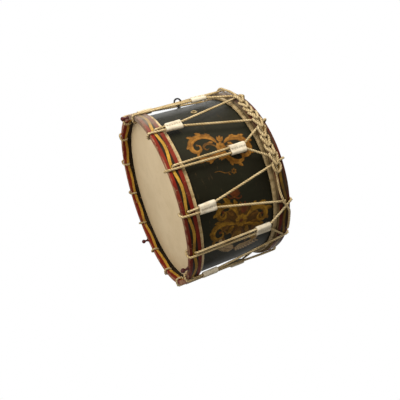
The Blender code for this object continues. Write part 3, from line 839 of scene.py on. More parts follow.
def makeHeads():
    skin, counts = drum["skin"], head["ripples"]
    reach = skin / 2 + drum["gap"]
    skirt = drum["shellOuter"] + reach
    lap = drum["fleshOuter"] - skin / 2
    face = drum["recess"] + skin / 2
    lapTop = drum["hoopWidth"] + drum["gap"] + skin / 2
    lapLow = lapTop + head["lapDepth"] + 2 * reach
    bends = head["bends"]
    corners = [(0, face), (head["flatOut"], face, 0), (skirt, face, bends[0]), (skirt, lapTop, bends[1]),
               (lap, lapTop, bends[2]), (lap, lapLow, bends[3]), (skirt + head["lapEnd"], lapLow, 0)]
    centreLine = np.array(rounded(corners, 0.001, 5, closed=False))
    along = np.gradient(centreLine, axis=0)
    along /= np.linalg.norm(along, axis=1)[:, None]
    across = np.stack([-along[:, 1], along[:, 0]], axis=1) * skin / 2
    across[0] = (0, -skin / 2)
    section = np.vstack([centreLine + across, (centreLine - across)[::-1]])
    section[0, 0] = section[-1, 0] = 0
    phases = np.random.default_rng(head["seed"]).uniform(0, 2 * math.pi, len(counts))
    for name, rim, toward in (("lower", lowRim, 1), ("upper", highRim, -1)):

        def wave(turns, radii, heights):
            # the lapped skin is uneven where it was tucked wet round its hoop
            start, soft, mean, more, less = head["unevenIn"]
            out = np.clip((radii - skirt - start) / soft, 0, 1)
            ripple = sum(np.cos(turns * n + p) / (1 + k * 0.25)
                         for k, (n, p) in enumerate(zip(counts, phases)))
            fine = sum(np.cos(turns * n * 2 + p * 3) for n, p in zip(counts[4:], phases)) / 4
            radii = radii - out * (mean + more * ripple + less * fine)
            start, soft, mean, more, less = head["unevenDown"]
            deep = np.clip((abs(heights - rim) - lapTop - start) / soft, 0, 1) * out
            return radii, heights + toward * deep * (more * ripple + less * fine + mean)

        profile = [(radius, rim + toward * depth) for radius, depth in section[::-toward]]
        mesh = turnedMesh(name, profile, turned["skinSides"], closed=False, wave=wave)
        rework(mesh, faceOut)
        smooth(mesh, head["sharp"])
        addPiece(name + "_head_skin", mesh, finishes[name + "Skin"], replaced=[name + "_head"])


makeShell()
makeHoops()
makeHeads()
for node, key in (("upper_flesh_hoop", "ash"), ("lower_flesh_hoop", "ash"), ("upper_glue_ring", "ash"),
                  ("lower_glue_ring", "ash"), ("eye_washer", "iron"), ("eye_nut", "iron")):
    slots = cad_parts[node].data.materials
    slots.clear()
    slots.append(finishes[key])
print("shell, hoops and heads made")


# Cord: the same route as in the CAD model; a step is in degrees, and a slant in degrees per metre

cord = {
    "radius": 0.0033,
    "bend": 0.0044,
    "lowLoopStep": 1.9,
    "highLoopStep": 0.75,
    "tugNear": (0.0405, 0.0825),
    "tugFar": (0.1600, 0.2015),
    "tugRaised": {5: 0.021},
    "spacingAtTug": 0.0146,
    "spacingAtHoop": 0.0083,
    "aboveTug": 0.0015,
    "clearance": 0.00035,
    "crossGap": 0.0004,
    "lowSlant": -4.0,
    "rimEdge": 0.0012,
    "rimBend": (0.0017, -0.0032),
    "rimTop": -0.0045,
}
facet = math.cos(math.radians(180 / drum["cadSides"]))  # how far out the flats of a CAD ring lie
outerLine = drum["hoopOuter"] + cord["radius"] + cord["clearance"]
innerLine = drum["hoopInner"] * facet - cord["radius"] - cord["clearance"]
crossLine = outerLine + 2 * cord["radius"] + cord["crossGap"]


def tugEnds(vee):
    raised = cord["tugRaised"].get(vee, 0.0)
    return tuple(height + raised for height in cord["tugFar" if vee % 2 else "tugNear"])


def hoopLoop(azimuth, rim, inward, slant, loopStep, edge=True):
    # through the hole from outside, along the inner face and back over the rim
    def at(radius, depth, shift):
        return polar(radius, azimuth + shift, rim + inward * depth)

    hole, bend, rimEdge = drum["holeFromRim"], cord["bend"], cord["rimEdge"]
    inset, above = cord["rimBend"]
    lean = 1 - math.sqrt(0.5)
    points = [at(outerLine, drum["hoopWidth"], slant * (drum["hoopWidth"] - hole))] if edge else []
    return points + [
        at(outerLine, hole + bend, slant * bend),
        at(outerLine - bend * lean, hole + bend * lean, slant * bend * lean),
        at(outerLine - bend, hole, 0.0),
        at(innerLine + bend, hole, 0.0),
        at(innerLine + bend * lean, hole - bend * lean, 0.05 * loopStep),
        at(innerLine, hole - bend, 0.10 * loopStep),
        at(innerLine, rimEdge, 0.26 * loopStep),
        at(innerLine + inset, above, 0.37 * loopStep),
        at((innerLine + outerLine) / 2, cord["rimTop"], 0.60 * loopStep),
        at(outerLine - inset, above, 0.84 * loopStep),
        at(outerLine, rimEdge, loopStep),
    ]


def cordRoute():
    lowStep, highStep, bend = cord["lowLoopStep"], cord["highLoopStep"], cord["bend"]
    entry = firstEnd()
    holeHeight = highRim - drum["holeFromRim"]
    rimFace = highRim - drum["hoopWidth"]
    spread = math.degrees(cord["spacingAtTug"] / 2 / outerLine)
    route = [polar(drum["hoopInner"] * facet, entry, holeHeight), polar(outerLine - bend, entry, holeHeight)]
    for vee in range(drum["vees"]):
        centre = lowHole(vee) + lowStep / 2
        outside = lowRim + tugEnds(vee)[1] + cord["aboveTug"]
        start, startHeight = highHole(vee - 1) + highStep, highRim - cord["rimEdge"]
        if vee == 0:
            start, startHeight = entry, holeHeight
        slope = (centre - spread - start) / (startHeight - outside)
        if vee == 0:
            lean = bend * (1 - math.sqrt(0.5))
            route.append(polar(outerLine - lean, entry + slope * lean, holeHeight - lean))
            route.append(polar(outerLine, entry + slope * bend, holeHeight - bend))
        route.append(polar(outerLine, start + slope * (startHeight - rimFace), rimFace))
        route.append(polar(outerLine, centre - spread, outside))
        route += hoopLoop(lowHole(vee), lowRim, 1, cord["lowSlant"], lowStep, edge=False)
        route.append(polar(outerLine, centre + spread, outside))
        rise = (highHole(vee) - centre - spread) / (holeHeight - outside)
        route += hoopLoop(highHole(vee), highRim, -1, -rise, highStep)
    # along the rim, over the first vee's leg and straight on to the plait; depths in millimetres
    last = highHole(-1)
    rimRun = [(1.3, 3.8, outerLine), (2.4, 6.0, outerLine), (6.0, 6.6, outerLine), (9.6, 6.6, outerLine),
              (13.2, 6.7, outerLine), (16.8, 6.8, outerLine), (20.2, 7.0, outerLine),
              (22.6, 7.2, outerLine + 0.0036), (25.0, 7.6, crossLine), (28.6, 8.6, crossLine)]
    for shift, depth, radius in rimRun:
        route.append(polar(radius, last + shift, highRim - depth / 1000))
    for before in (8.0, 4.0, 0.4):
        azimuth = plait["start"] - before
        route.append(polar(plait["lead"], azimuth, plaitHeight(azimuth)))
    return route


def addCord(name, points, radius, finish, node, **ropeShape):
    mesh, length = ropeMesh(name, points, radius, **ropeShape)
    addPiece(name, mesh, finishes[finish], replaced=[node])
    print(name + ":", round(length, 3), "m")


plait = {
    "start": -151.3,
    "turn": 56.6,
    "nearRim": 0.0225,
    "drift": 0.0065,
    "lead": 0.2522,
    "links": 10,
    "strand": 0.0035,
    "half": 0.0088,
    "weave": 0.0029,
    "lift": 0.00695,
    "liftFrom": 0.9,
    "liftReach": 8.2,
    "liftSlope": 3.4,
}


def plaitHeight(azimuth):
    # it drifts away from the rim as it goes along
    return highRim - plait["nearRim"] - plait["drift"] * (azimuth - plait["start"]) / plait["turn"]


def overCord(azimuth):
    # 1 where the plait rides over the lacing, 0 where it lies on the hoop
    lift = 0.0
    for vee in range(drum["vees"]):
        away = abs(azimuth - highHole(vee) - plait["liftFrom"])
        lift = max(lift, min(1.0, max(0.0, (plait["liftReach"] - away) / plait["liftSlope"])))
    return lift * lift * (3 - 2 * lift)


def smoothThrough(points, steps):
    # a Catmull-Rom curve through the points
    pts = np.array(points, float)
    pts = np.vstack([2 * pts[0] - pts[1], pts, 2 * pts[-1] - pts[-2]])
    out = []
    for k in range(1, len(pts) - 2):
        a, b, c, d = pts[k - 1:k + 3]
        for n in range(steps):
            t = n / steps
            out.append(0.5 * (2 * b + (c - a) * t + (2 * a - 5 * b + 4 * c - d) * t * t
                              + (3 * b - 3 * c + d - a) * t ** 3))
    out.append(pts[-2])
    return np.array(out)


def makePlait():
    # a chain plait: each bight lies over the legs of the next, which come up through it
    # a point is the links along, half widths across and weaves out
    half, weave = plait["half"], plait["weave"]
    leg = [(0.00, 0.60, -1.0), (0.09, 0.92, -0.8), (0.24, 1.10, -0.35), (0.45, 1.02, 0.05),
           (0.70, 0.76, 0.45), (0.95, 0.50, 0.85), (1.14, 0.30, 1.05)]
    link = [(s, -w, h) for s, w, h in leg] + [(1.23, 0.0, 1.1)] + leg[::-1]
    link += [(0.10, 0.22, -1.1), (0.42, 0.06, -0.9), (0.66, -0.06, -0.9), (0.90, -0.18, -1.1)]
    # the last bight stays round, and the cord's end comes out through it
    leg = leg[:3] + [(0.48, 1.12, 0.0), (0.74, 0.96, 0.3), (0.93, 0.58, 0.5)]
    last = [(s, -w, h) for s, w, h in leg] + [(1.01, 0.0, 0.6)] + leg[::-1]
    last += [(0.12, 0.22, -1.1), (0.45, 0.10, -1.0), (0.80, 0.0, -1.1), (1.12, 0.0, -1.0), (1.25, 0.0, -1.0)]
    flat = []
    for k in range(plait["links"]):
        flat += [(k + s, w * half, h * weave) for s, w, h in (last if k == plait["links"] - 1 else link)]
    span = plait["turn"] / (plait["links"] + 0.12)
    level = drum["hoopOuter"] + drum["gap"] + plait["strand"] + weave
    route = []
    for s, w, h in smoothThrough(flat, 5):
        azimuth = plait["start"] + s * span
        route.append(polar(level + plait["lift"] * overCord(azimuth) + h, azimuth, plaitHeight(azimuth) - w))
    addCord("chain_plait", route, plait["strand"], "plait", "plaited_cord_end",
            spacing=0.0012, rounding=0.0012, pitch=0.019)


def makeTail():
    # degrees from the fifth vee's upper hole, millimetres from the rim, radius
    base = highHole(4)
    start = plait["start"] + plait["turn"] - base
    route = [
        (start - 2.4, -29.2, outerLine + 0.0022),
        (start, -29.6, outerLine + 0.0008),
        (start + 2.4, -30.2, outerLine),
        (-13.0, -30.6, outerLine),
        (-8.4, -30.6, outerLine),
        (-5.6, -30.2, outerLine + 0.0030),
        (-3.2, -29.2, crossLine),
        (-0.6, -26.2, crossLine),
        (2.2, -18.6, crossLine),
        (5.0, -11.4, crossLine),
        (7.6, -7.0, outerLine + 0.0034),
        (10.2, -4.6, outerLine),
        (14.0, -4.0, outerLine),
        (18.0, -3.8, outerLine),
        (21.7, -3.8, outerLine),
    ]
    points = [polar(radius, base + shift, highRim + drop / 1000) for shift, drop, radius in route]
    addCord("cord_end_strand", points, cord["radius"] * 0.94, "hemp", "cord_tail",
            rounding=0.006, fade=0.0014)


knot = {
    "size": 0.00245,
    "strand": 0.0027,
    "inset": 0.0068,
}


def makeKnot():
    # an overhand knot drawn tight against the hoop's inner face
    turns = np.linspace(0, 2 * math.pi, 90)[:-1]
    flat = np.stack([np.sin(turns) + 2 * np.sin(2 * turns), np.cos(turns) - 2 * np.cos(2 * turns),
                     -1.1 * np.sin(3 * turns)], axis=1) * knot["size"]
    place = radialAxis(firstEnd(), highRim - drum["holeFromRim"], drum["hoopInner"] * facet - knot["inset"])
    points = [place @ Vector(p) for p in flat]
    addCord("end_knot", points, knot["strand"], "hemp", "stopper_knot",
            spacing=0.0010, rounding=0.0010, pitch=0.017)


addCord("laced_cord", cordRoute(), cord["radius"], "hemp", "tension_cord")
makePlait()
makeTail()
makeKnot()
print("cords made")


# Leather tugs

tug = {
    "leather": 0.0021,
    "slack": 0.00055,
    "lap": 0.0013,
    "lapEdge": 0.00035,
    "pinch": 0.0006,
    "pinchWidth": 0.0035,
    "sectionPoints": 56,
    "rings": 20,
    "edgeRound": 0.0006,
    "edgeReach": 0.03,
    "skew": 0.0009,
    "flapStep": 0.0011,
    "flapVaries": 0.0010,
    "swells": [(0.00016, 3, 2), (0.00013, 5, -5)],  # size, waves round the sleeve, twist along it
    "waist": 0.00010,
    "stitches": 6,
    # a stitch's points: place across, 1 on the lap, rise from the leather, share of the lean
    "stitch": [(-0.0030, 0, -0.0010, -0.4), (-0.0024, 0, 0.0003, -0.3), (-0.0004, 1, 0.0001, 0),
               (0.0022, 1, 0.0004, 0.7), (0.0034, 1, -0.0008, 1)],
    "lean": 0.0016,
    "thread": 0.00042,
    "sharp": 50,
}


def tugSection(halfWidth, halfHeight, lap, pinch, count):
    # a flat-sided oval, drawn in between the two legs, whose outer side is lapped
    reach = halfWidth - halfHeight
    flat, bend = 2 * reach, math.pi * halfHeight
    points = []
    for k in range(count):
        s = (k / count) * (2 * bend + 2 * flat)
        side = 1 if s < flat + bend else -1
        s = s if side > 0 else s - flat - bend
        t = max(0.0, s - flat) / halfHeight
        nx, ny = side * math.sin(t), side * math.cos(t)
        x = side * (-reach + min(s, flat)) + halfHeight * nx
        y = halfHeight * ny
        drawn = pinch * math.exp(-(x / tug["pinchWidth"]) ** 2) * abs(ny)
        lapped = lap / (1 + math.exp(-x / tug["lapEdge"])) * max(0.0, ny) ** 0.5
        points.append((x - nx * drawn, y - ny * drawn + lapped * max(0.0, ny)))
    return np.array(points)


def sleeveMesh(vee, bore, length):
    # about the tug's own axis: X across the legs, Y out of the drum, Z up
    ends = tugEnds(vee)
    rng = np.random.default_rng(100 + vee)
    count, thick = tug["sectionPoints"], tug["leather"]
    # the wall's own outline: along the outside, round one cut end, back through the bore
    wall = [(t, 1.0) for t in np.linspace(0.0, 1.0, tug["rings"])]
    wall += [(1.0, q) for q in (0.66, 0.33)]
    wall += [(t, 0.0) for t in np.linspace(1.0, 0.0, 6)]
    wall += [(0.0, q) for q in (0.33, 0.66)]
    phase = rng.uniform(0, 6.28, 6)
    grid = np.zeros((len(wall), count, 3))
    tone = np.zeros((len(wall), count))
    cutSkew = rng.uniform(-tug["skew"], tug["skew"], 2)
    flapStep = tug["flapStep"] + rng.uniform(0, tug["flapVaries"])
    turns = np.arange(count) / count * 2 * math.pi
    for row, (t, outside) in enumerate(wall):
        height = ends[0] + t * length
        legs = cord["spacingAtHoop"] + (cord["spacingAtTug"] - cord["spacingAtHoop"]) * height / ends[1]
        half = legs / 2 + bore
        section = tugSection(half + thick * outside, bore + thick * outside, tug["lap"] * outside,
                             tug["pinch"] * outside, count)
        swell = sum(size * np.cos(waves * turns + start + t * twist)
                    for (size, waves, twist), start in zip(tug["swells"], phase))
        swell = outside * (swell + tug["waist"] * math.sin(t * 9 + phase[2]))
        edge = min(t, 1 - t)
        rounding = tug["edgeRound"] * outside * max(0.0, 1 - edge / tug["edgeReach"]) ** 2
        norm = section / np.maximum(np.linalg.norm(section, axis=1), 1e-6)[:, None]
        section = section + norm * (swell - rounding)[:, None]
        # the lapped half is cut a little short at one end, and both ends are cut by eye
        skew = (cutSkew[0] if t < 0.5 else cutSkew[1]) * section[:, 0] / half * max(0.0, 1 - edge * 5)
        lapped = (section[:, 0] > 0) & (section[:, 1] > 0)
        short = np.where(lapped, flapStep, 0.0) * max(0.0, 1 - t * 6) * outside
        grid[row, :, :2] = section
        grid[row, :, 2] = t * length + skew + short
        tone[row] = (1 - outside) * 0.8 + (0.35 if edge == 0 else 0.0)
    return gridMesh("sleeve", grid[::-1], wrapRows=True, values=tone[::-1])


def stitchMeshes(bore, length):
    # waxed stitches across the lap
    stitches = []
    face = bore + tug["leather"]
    ring = np.arange(6) / 6 * 2 * math.pi
    for k in range(tug["stitches"]):
        z = length * (k + 0.8) / (tug["stitches"] + 0.6)
        lean = tug["lean"] if k % 2 else -tug["lean"]
        arc = [(across, face + tug["lap"] * onLap + rise, z + lean * share)
               for across, onLap, rise, share in tug["stitch"]]
        path, _ = evenPath(arc, 0.0005, 0.0008)
        stitches.append(gridMesh("stitch", tubeGrid(path, tug["thread"], ring[None, :]), caps=True))
    return stitches


def makeTug(vee):
    ends = tugEnds(vee)
    name = f"leather_tug_{vee + 1:02d}"
    bore = cord["radius"] + tug["slack"]
    length = ends[1] - ends[0]
    azimuth = lowHole(vee) + cord["lowLoopStep"] / 2
    out, up = polar(1.0, azimuth, 0.0), Vector((0, 0, 1))
    turn = Matrix((out.cross(up), out, up)).transposed().to_4x4()
    place = Matrix.Translation(polar(outerLine, azimuth, lowRim + ends[0])) @ turn
    sleeve = sleeveMesh(vee, bore, length)
    sleeve.transform(place)
    rework(sleeve, faceOut)
    smooth(sleeve, tug["sharp"])
    addPiece(name + "_sleeve", sleeve, finishes["leather"], name, [name])
    thread = joined("thread", stitchMeshes(bore, length))
    thread.transform(place)
    thread.shade_smooth()
    addPiece(name + "_stitching", thread, finishes["thread"], name)


for vee in range(drum["vees"]):
    makeTug(vee)
print("leather tugs made")


# Feet, eye, vent

foot = {
    "ball": 0.0062,
    "ballCentre": 0.0058,
    "ballTop": 62,
    "collar": [(0.0, 0.0), (0.0045, 0.0), (0.0051, 0.0006), (0.0054, 0.0015), (0.0051, 0.0024),
               (0.0043, 0.0030), (0.0034, 0.0038), (0.0031, 0.0044)],
    "sides": 36,
    "sharp": 50,
}


def makeFeet():
    hoopMiddle = (drum["hoopInner"] + drum["hoopOuter"]) / 2
    ball, centre = foot["ball"], foot["ballCentre"]
    arc = [(ball * math.cos(a), centre + ball * math.sin(a))
           for a in np.linspace(math.radians(foot["ballTop"]), math.asin(-centre / ball), 16)]
    rim = lowRim - drum["gap"]
    profile = [(radius, rim - drop) for radius, drop in foot["collar"]] + arc + [(0.0, 0.0)]
    for name, azimuth in drum["feet"].items():
        place = Matrix.Translation(polar(hoopMiddle, azimuth, 0.0))
        mesh = turnedMesh(name, profile, foot["sides"], place, closed=False)
        smooth(mesh, foot["sharp"])
        addPiece(name + "_ball", mesh, finishes["foot"], replaced=[name])


# the stem's first points hang from the ring's centre, the next stand on the shell and the last are inside it
eye = {
    "centre": 0.2438,
    "ring": 0.0095,
    "wire": 0.0023,
    "uneven": 0.05,
    "ringSides": 56,
    "wireSides": 18,
    "stemSides": 24,
    "neck": [(0, 0.0090), (0.0020, 0.0090), (0.0024, 0.0104)],
    "collar": [(0.0026, 0.0048), (0.0030, 0.0030), (0.0050, 0.0016), (0.0056, 0.0010), (0.0056, 0),
               (0.0024, 0)],
    "shank": [(0.0024, 0.2125), (0, 0.2120)],
    "sharp": 55,
}


def makeEye():
    azimuth, height = drum["eye"]
    centre, face = eye["centre"], drum["shellOuter"] + drum["gap"]
    ring = np.arange(eye["wireSides"]) / eye["wireSides"] * 2 * math.pi
    grid = np.zeros((eye["ringSides"], eye["wireSides"], 3))
    for row, t in enumerate(np.linspace(0, 2 * math.pi, eye["ringSides"], endpoint=False)):
        thick = eye["wire"] * (1 + eye["uneven"] * math.cos(3 * t + 1))
        reach = eye["ring"] + thick * np.cos(ring)
        grid[row] = np.stack([-(centre - reach * math.cos(t)), thick * np.sin(ring),
                              height + reach * math.sin(t)], axis=1)
    torus = gridMesh("eye_ring", grid, wrapRows=True)
    rework(torus, faceOut)
    profile = [(radius, centre - drop) for radius, drop in eye["neck"]]
    profile += [(radius, face + rise) for radius, rise in eye["collar"]] + eye["shank"]
    stem = turnedMesh("eye_stem", profile, eye["stemSides"], radialAxis(azimuth, height), closed=False)
    mesh = combined(torus, stem, "UNION", eye["sharp"])
    addPiece("sling_eye", mesh, finishes["iron"], replaced=["carrying_eye"])


# radius, distance out from the shell's face, edge radius; then the same from its inner face
vent = {
    "outside": [(0.0044, 0.0014, 0.0008), (0.0058, 0.0024, 0.0010), (0.0078, 0.0019, 0.0012),
                (0.0090, 0, 0.0004), (0.0052, 0, 0)],
    "inside": [(0.0052, 0, 0), (0.0066, 0, 0.0003), (0.0066, -0.0010, 0.0004), (0.0044, -0.0010, 0.0003)],
    "innerGap": 0.0005,
    "sides": 48,
    "sharp": 50,
}


def makeVent():
    face = drum["shellOuter"] + drum["gap"]
    inside = drum["shellInner"] * facet - vent["innerGap"]
    corners = [(radius, face + out, edge) for radius, out, edge in vent["outside"]]
    corners += [(radius, inside + out, edge) for radius, out, edge in vent["inside"]]
    mesh = turnedMesh("vent_ring", rounded(corners, 0.0004), vent["sides"], radialAxis(*drum["vent"]))
    smooth(mesh, vent["sharp"])
    addPiece("vent_ring", mesh, finishes["brass"], replaced=["vent_eyelet"])


# Gilding: painted scrolls and leaves, each a thin raised stroke on the shell

gilding = {
    "lift": 0.00010,
    "proud": 0.00016,
    "ground": 0.00007,
    "root": -0.00040,
    # places across a stroke, each with its tone, dark at the edges and the vein and darker on one side as
    # painted shade; the last two are its root
    "section": [(-1.0, 1.0), (-0.86, 0.55), (-0.5, 0.30), (-0.11, 0.10), (0.0, 0.85), (0.11, 0.0),
                (0.5, 0.0), (0.86, 0.15), (1.0, 1.0), (1.0, 1.0), (-1.0, 1.0)],
    "tip": 0.25,
    "lobe": (0.72, 0.42),  # a leaf's width between its lobes, and what a lobe adds
    "petal": (0.22, 0.78, 0.34),  # start, length and half width, as shares of the rosette's radius
    "fan": (0.30, 50),  # how much shorter its outer leaves are, and how far they bend
    "turn": 20.0,
    "cartouche": (-119.7, 0.1710),
    "florette": (-104.2, 0.1660),
    "palmette": (-91.0, 0.1668),
    "spray": (-70.5, 0.1700),
    "bough": (-51.5, 0.1560),
}


def onShell(spot, across, up, lift):
    # across runs along the drum and up runs round it, both in millimetres and turned by one angle
    azimuth, height = gilding[spot]
    turn = math.radians(gilding["turn"])
    along = (across * math.cos(turn) + up * math.sin(turn)) / 1000
    around = (across * math.sin(turn) - up * math.cos(turn)) / 1000
    azimuth += math.degrees(around / drum["shellOuter"])
    return polar(drum["shellOuter"] + lift, azimuth, height + along)


def strokeMesh(spot, path, half, lobes=0, lead=0.75):
    # a stroke that swells and tapers; lobes cut its edges like a leaf's
    line = smoothThrough(path, 9)
    line = evenPath(np.column_stack([line, np.zeros(len(line))]), 1.1, 0.0)[0][:, :2]
    tangents = np.gradient(line, axis=0)
    tangents /= np.linalg.norm(tangents, axis=1)[:, None]
    t = np.linspace(0, 1, len(line))
    wide = half * np.sin(math.pi * t ** lead) ** 0.7 + gilding["tip"]
    if lobes:
        waist, lobe = gilding["lobe"]
        wide *= waist + lobe * np.abs(np.sin(math.pi * (lobes * t + 0.12))) ** 0.7
    offsets, tones = np.array(gilding["section"]).T
    lifts = gilding["lift"] + gilding["proud"] * (1 - offsets * offsets)
    lifts[-2:] = gilding["root"]
    grid = np.zeros((len(line), len(offsets), 3))
    for row in range(len(line)):
        normal = np.array([-tangents[row, 1], tangents[row, 0]])
        for col, offset in enumerate(offsets):
            across, up = line[row] + normal * offset * wide[row]
            grid[row, col] = onShell(spot, across, up, lifts[col])
    return gridMesh("stroke", grid, caps=True, values=np.tile(tones, (len(line), 1)))


def discMesh(spot, centre, wide, high, sides, rings, wave):
    # rings from the middle out: reach, lift and tone; wave gives each one's outline
    turns = np.arange(sides) / sides * 2 * math.pi
    grid = np.zeros((len(rings), sides, 3))
    values = np.zeros((len(rings), sides))
    for row, (reach, lift, tone) in enumerate(rings):
        for col, turn in enumerate(turns):
            spread = reach * wave(reach, turn)
            grid[row, col] = onShell(spot, centre[0] + wide * spread * math.cos(turn),
                                     centre[1] + high * spread * math.sin(turn), lift)
        values[row] = tone
    return gridMesh("disc", grid, caps=True, values=values)


def budMesh(spot, centre, radius):
    # a round boss with a dark rim
    rings = [(reach, gilding["lift"] + 1.3 * gilding["proud"] * (1 - reach * reach), tone)
             for reach, tone in ((0.02, 0.5), (0.25, 0.0), (0.62, 0.1), (0.84, 0.35), (1.0, 1.0))]
    rings.append((1.0, gilding["root"], 1.0))
    return discMesh(spot, centre, radius, radius, 20, rings,
                    lambda reach, turn: 1 + 0.06 * math.cos(5 * turn))


def fieldMesh(spot, centre, wide, high, scallops):
    # a low scalloped ground for other strokes, lined at its edge
    rings = [(reach, gilding["ground"] * (1 - 0.7 * reach ** 6), tone)
             for reach, tone in ((0.02, 0), (0.35, 0), (0.65, 0), (0.90, 0), (0.965, 1.0), (1.0, 0.2))]
    rings.append((1.0, gilding["root"], 0.2))
    return discMesh(spot, centre, wide, high, 144, rings,
                    lambda reach, turn: 1 + 0.07 * reach ** 3 * abs(math.sin(scallops * turn / 2)))


def mirrorPath(path):
    return [(-across, up) for across, up in path]


def leafFrom(across, up, angle, length, bend):
    # a path from a point that sets off at angle and turns by bend
    points = [(across, up)]
    for n in range(6):
        turn = math.radians(angle + bend * (n + 0.5) / 6)
        across, up = across + length / 6 * math.cos(turn), up + length / 6 * math.sin(turn)
        points.append((across, up))
    return points


def fan(spot, across, up, angles, length, half, lobes=3):
    # leaves that spread from one point, the middle ones longest
    shorter, bend = gilding["fan"]
    centre = sum(angles) / len(angles)
    meshes = []
    for angle in angles:
        away = (angle - centre) / 90
        leaf = leafFrom(across, up, angle, length * (1 - shorter * abs(away)), -away * bend)
        meshes.append(strokeMesh(spot, leaf, half, lobes))
    return meshes


def rosette(spot, across, up, radius, petals):
    start, length, half = [radius * share for share in gilding["petal"]]
    meshes = []
    for n in range(petals):
        angle = 90 + 360 * n / petals
        turn = math.radians(angle)
        petal = leafFrom(across + start * math.cos(turn), up + start * math.sin(turn), angle, length, 0)
        meshes.append(strokeMesh(spot, petal, half, 0, 1.25))
    return meshes


# each scroll is its path and half width, each leaf the values of leafFrom, its half width and its tone,
# and each bud its place and radius; all of them are made on both sides
scrollwork = {
    "cartouche": {
        "scrolls": [([(9, 13), (20, 25), (40, 31), (60, 25), (73, 9), (71, -9), (59, -16), (49, -9), (51, 2),
                      (58, 3)], 7.8, "orange"),
                    ([(7, -7), (14, -21), (29, -32), (46, -32), (56, -24), (51, -15)], 7.0, "orange"),
                    ([(12, 3), (24, 9), (36, 8), (42, -1), (35, -8), (28, -3)], 3.6, "brown")],
        "leaves": [(24, 27, 70, 18, -50, 4.6, "orange"), (44, 31, 50, 20, -45, 4.8, "orange"),
                   (64, 22, 30, 19, -40, 4.6, "orange"), (73, 2, -30, 15, -40, 4.0, "orange"),
                   (24, -30, -90, 15, 45, 4.2, "orange"), (42, -33, -55, 17, 45, 4.2, "orange"),
                   (18, 14, 10, 16, -60, 3.4, "orange")],
        "lobes": 3,
        "buds": [(58, 3, 3.4, "brown"), (51, -15, 3.0, "brown")],
    },
    "spray": {
        "scrolls": [([(12, 16), (24, 34), (44, 44), (62, 37), (69, 20), (60, 8), (48, 12), (48, 24),
                      (56, 26)], 7.6, "ochre"),
                    ([(13, -4), (30, -2), (52, -6), (69, -18), (70, -38), (56, -48), (42, -41), (43, -29),
                      (52, -28)], 7.6, "ochre")],
        "leaves": [(24, 36, 95, 24, -50, 6.2, "ochre"), (42, 45, 62, 24, -50, 6.4, "ochre"),
                   (62, 38, 38, 22, -55, 6.0, "ochre"), (69, 18, -5, 14, -60, 4.6, "ochre"),
                   (30, 0, 35, 22, -50, 5.4, "brown"), (54, -5, 25, 20, -50, 5.2, "ochre"),
                   (70, -26, -20, 14, -50, 4.6, "ochre"), (36, -6, -70, 24, 40, 5.8, "brown"),
                   (20, -8, -80, 30, 45, 6.4, "ochre"), (60, -50, -70, 18, -40, 4.8, "ochre"),
                   (24, 20, 10, 22, 35, 5.0, "brown"), (12, 30, 100, 24, -25, 5.2, "brown"),
                   (38, -42, -110, 20, 30, 5.0, "brown")],
        "lobes": 4,
        "buds": [(56, 26, 4.2, "red"), (52, -28, 4.2, "red")],
    },
}


bough = {
    "stem": [(-58, 16), (-38, 3), (-14, -5), (0, -7), (14, -5), (38, 3), (58, 16)],
    "stemHalf": 2.2,
    "pairs": 9,
    "across": (5, 6.6),  # the first pair's, and the step to the next
    "lean": (4, 4.2),
    "sag": (-7, 0.0068),
    "leaves": [(1, 58, 18, -22), (-1, -62, 17, 22)],  # above the stem, angle from the lean, length, bend
    "leafHalf": 3.1,
    "bud": 4.5,
}


def addScrollwork(spot, work):
    shapes = scrollwork[spot]
    for flip in (list, mirrorPath):
        for path, half, tone in shapes["scrolls"]:
            work[tone].append(strokeMesh(spot, flip(path), half))
        for *leaf, half, tone in shapes["leaves"]:
            work[tone].append(strokeMesh(spot, flip(leafFrom(*leaf)), half, shapes["lobes"]))
        for across, up, radius, tone in shapes["buds"]:
            work[tone].append(budMesh(spot, flip([(across, up)])[0], radius))


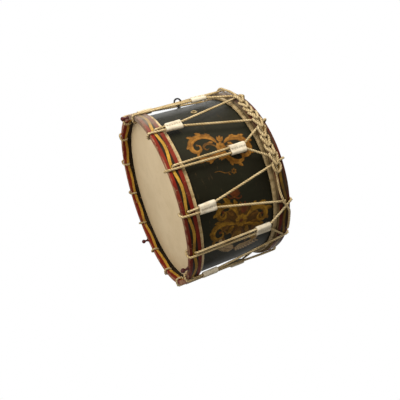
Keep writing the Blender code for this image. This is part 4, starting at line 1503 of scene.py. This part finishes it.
def makeGilding():
    work = {name: [] for name in gilts}
    orange, ochre, brown, red, cream = [work[name] for name in ("orange", "ochre", "brown", "red", "cream")]

    # the cartouche: scrolls and leaves to each side of a rosette
    spot = "cartouche"
    addScrollwork(spot, work)
    orange += rosette(spot, 0, 3, 13, 8)
    brown.append(budMesh(spot, (0, 3), 4.0))
    orange += fan(spot, 0, 17, (55, 90, 125), 19, 3.8)
    orange += fan(spot, 0, -12, (-135, -112, -90, -68, -45), 22, 3.8)

    # a florette with a thin flourish, and a small palmette
    spot = "florette"
    brown += rosette(spot, 14, 2, 7.5, 6)
    brown.append(strokeMesh(spot, [(6, 0), (-8, -4), (-22, -1), (-36, -5)], 1.1))
    brown.append(strokeMesh(spot, leafFrom(0, -2, -70, 10, 60), 1.6))
    spot = "palmette"
    red += fan(spot, 0, -10, (20, 43, 67, 90, 113, 137, 160), 24, 3.4, 2)
    for flip in (list, mirrorPath):
        red.append(strokeMesh(spot, flip([(0, -11), (10, -14), (19, -10), (17, -5)]), 2.4))
    brown.append(budMesh(spot, (0, -11), 3.6))

    # the spray: broad leaf scrolls round a large rosette
    spot = "spray"
    addScrollwork(spot, work)
    work["umber"].append(fieldMesh(spot, (0, 4), 62, 36, 16))
    ochre += rosette(spot, 0, 6, 18, 9)
    red.append(budMesh(spot, (0, 6), 5.6))
    red += fan(spot, 0, 26, (62, 90, 118), 30, 4.8, 4)
    brown += fan(spot, 0, -14, (-140, -40), 34, 5.6, 4)
    ochre += fan(spot, 0, -14, (-116, -90, -64), 44, 6.4, 4)

    # the bough: paired leaves along a hanging stem
    spot = "bough"
    low, curve = bough["sag"]
    cream.append(strokeMesh(spot, bough["stem"], bough["stemHalf"], 0, 1.0))
    for n in range(bough["pairs"]):
        across, lean = [first + n * more for first, more in (bough["across"], bough["lean"])]
        up = low + curve * across * across
        for flip in (list, mirrorPath):
            for above, angle, length, bend in bough["leaves"]:
                leaf = leafFrom(across, up + above, lean + angle, length, bend)
                cream.append(strokeMesh(spot, flip(leaf), bough["leafHalf"]))
    brown.append(budMesh(spot, (0, low), bough["bud"]))

    for name, meshes in work.items():
        whole = joined(name, meshes)
        whole.flip_normals()
        whole.shade_smooth()
        addPiece(name + "_gilding", whole, finishes[name])


makeFeet()
makeEye()
makeVent()
print("feet, eye and vent made")
makeGilding()
print("gilding made")
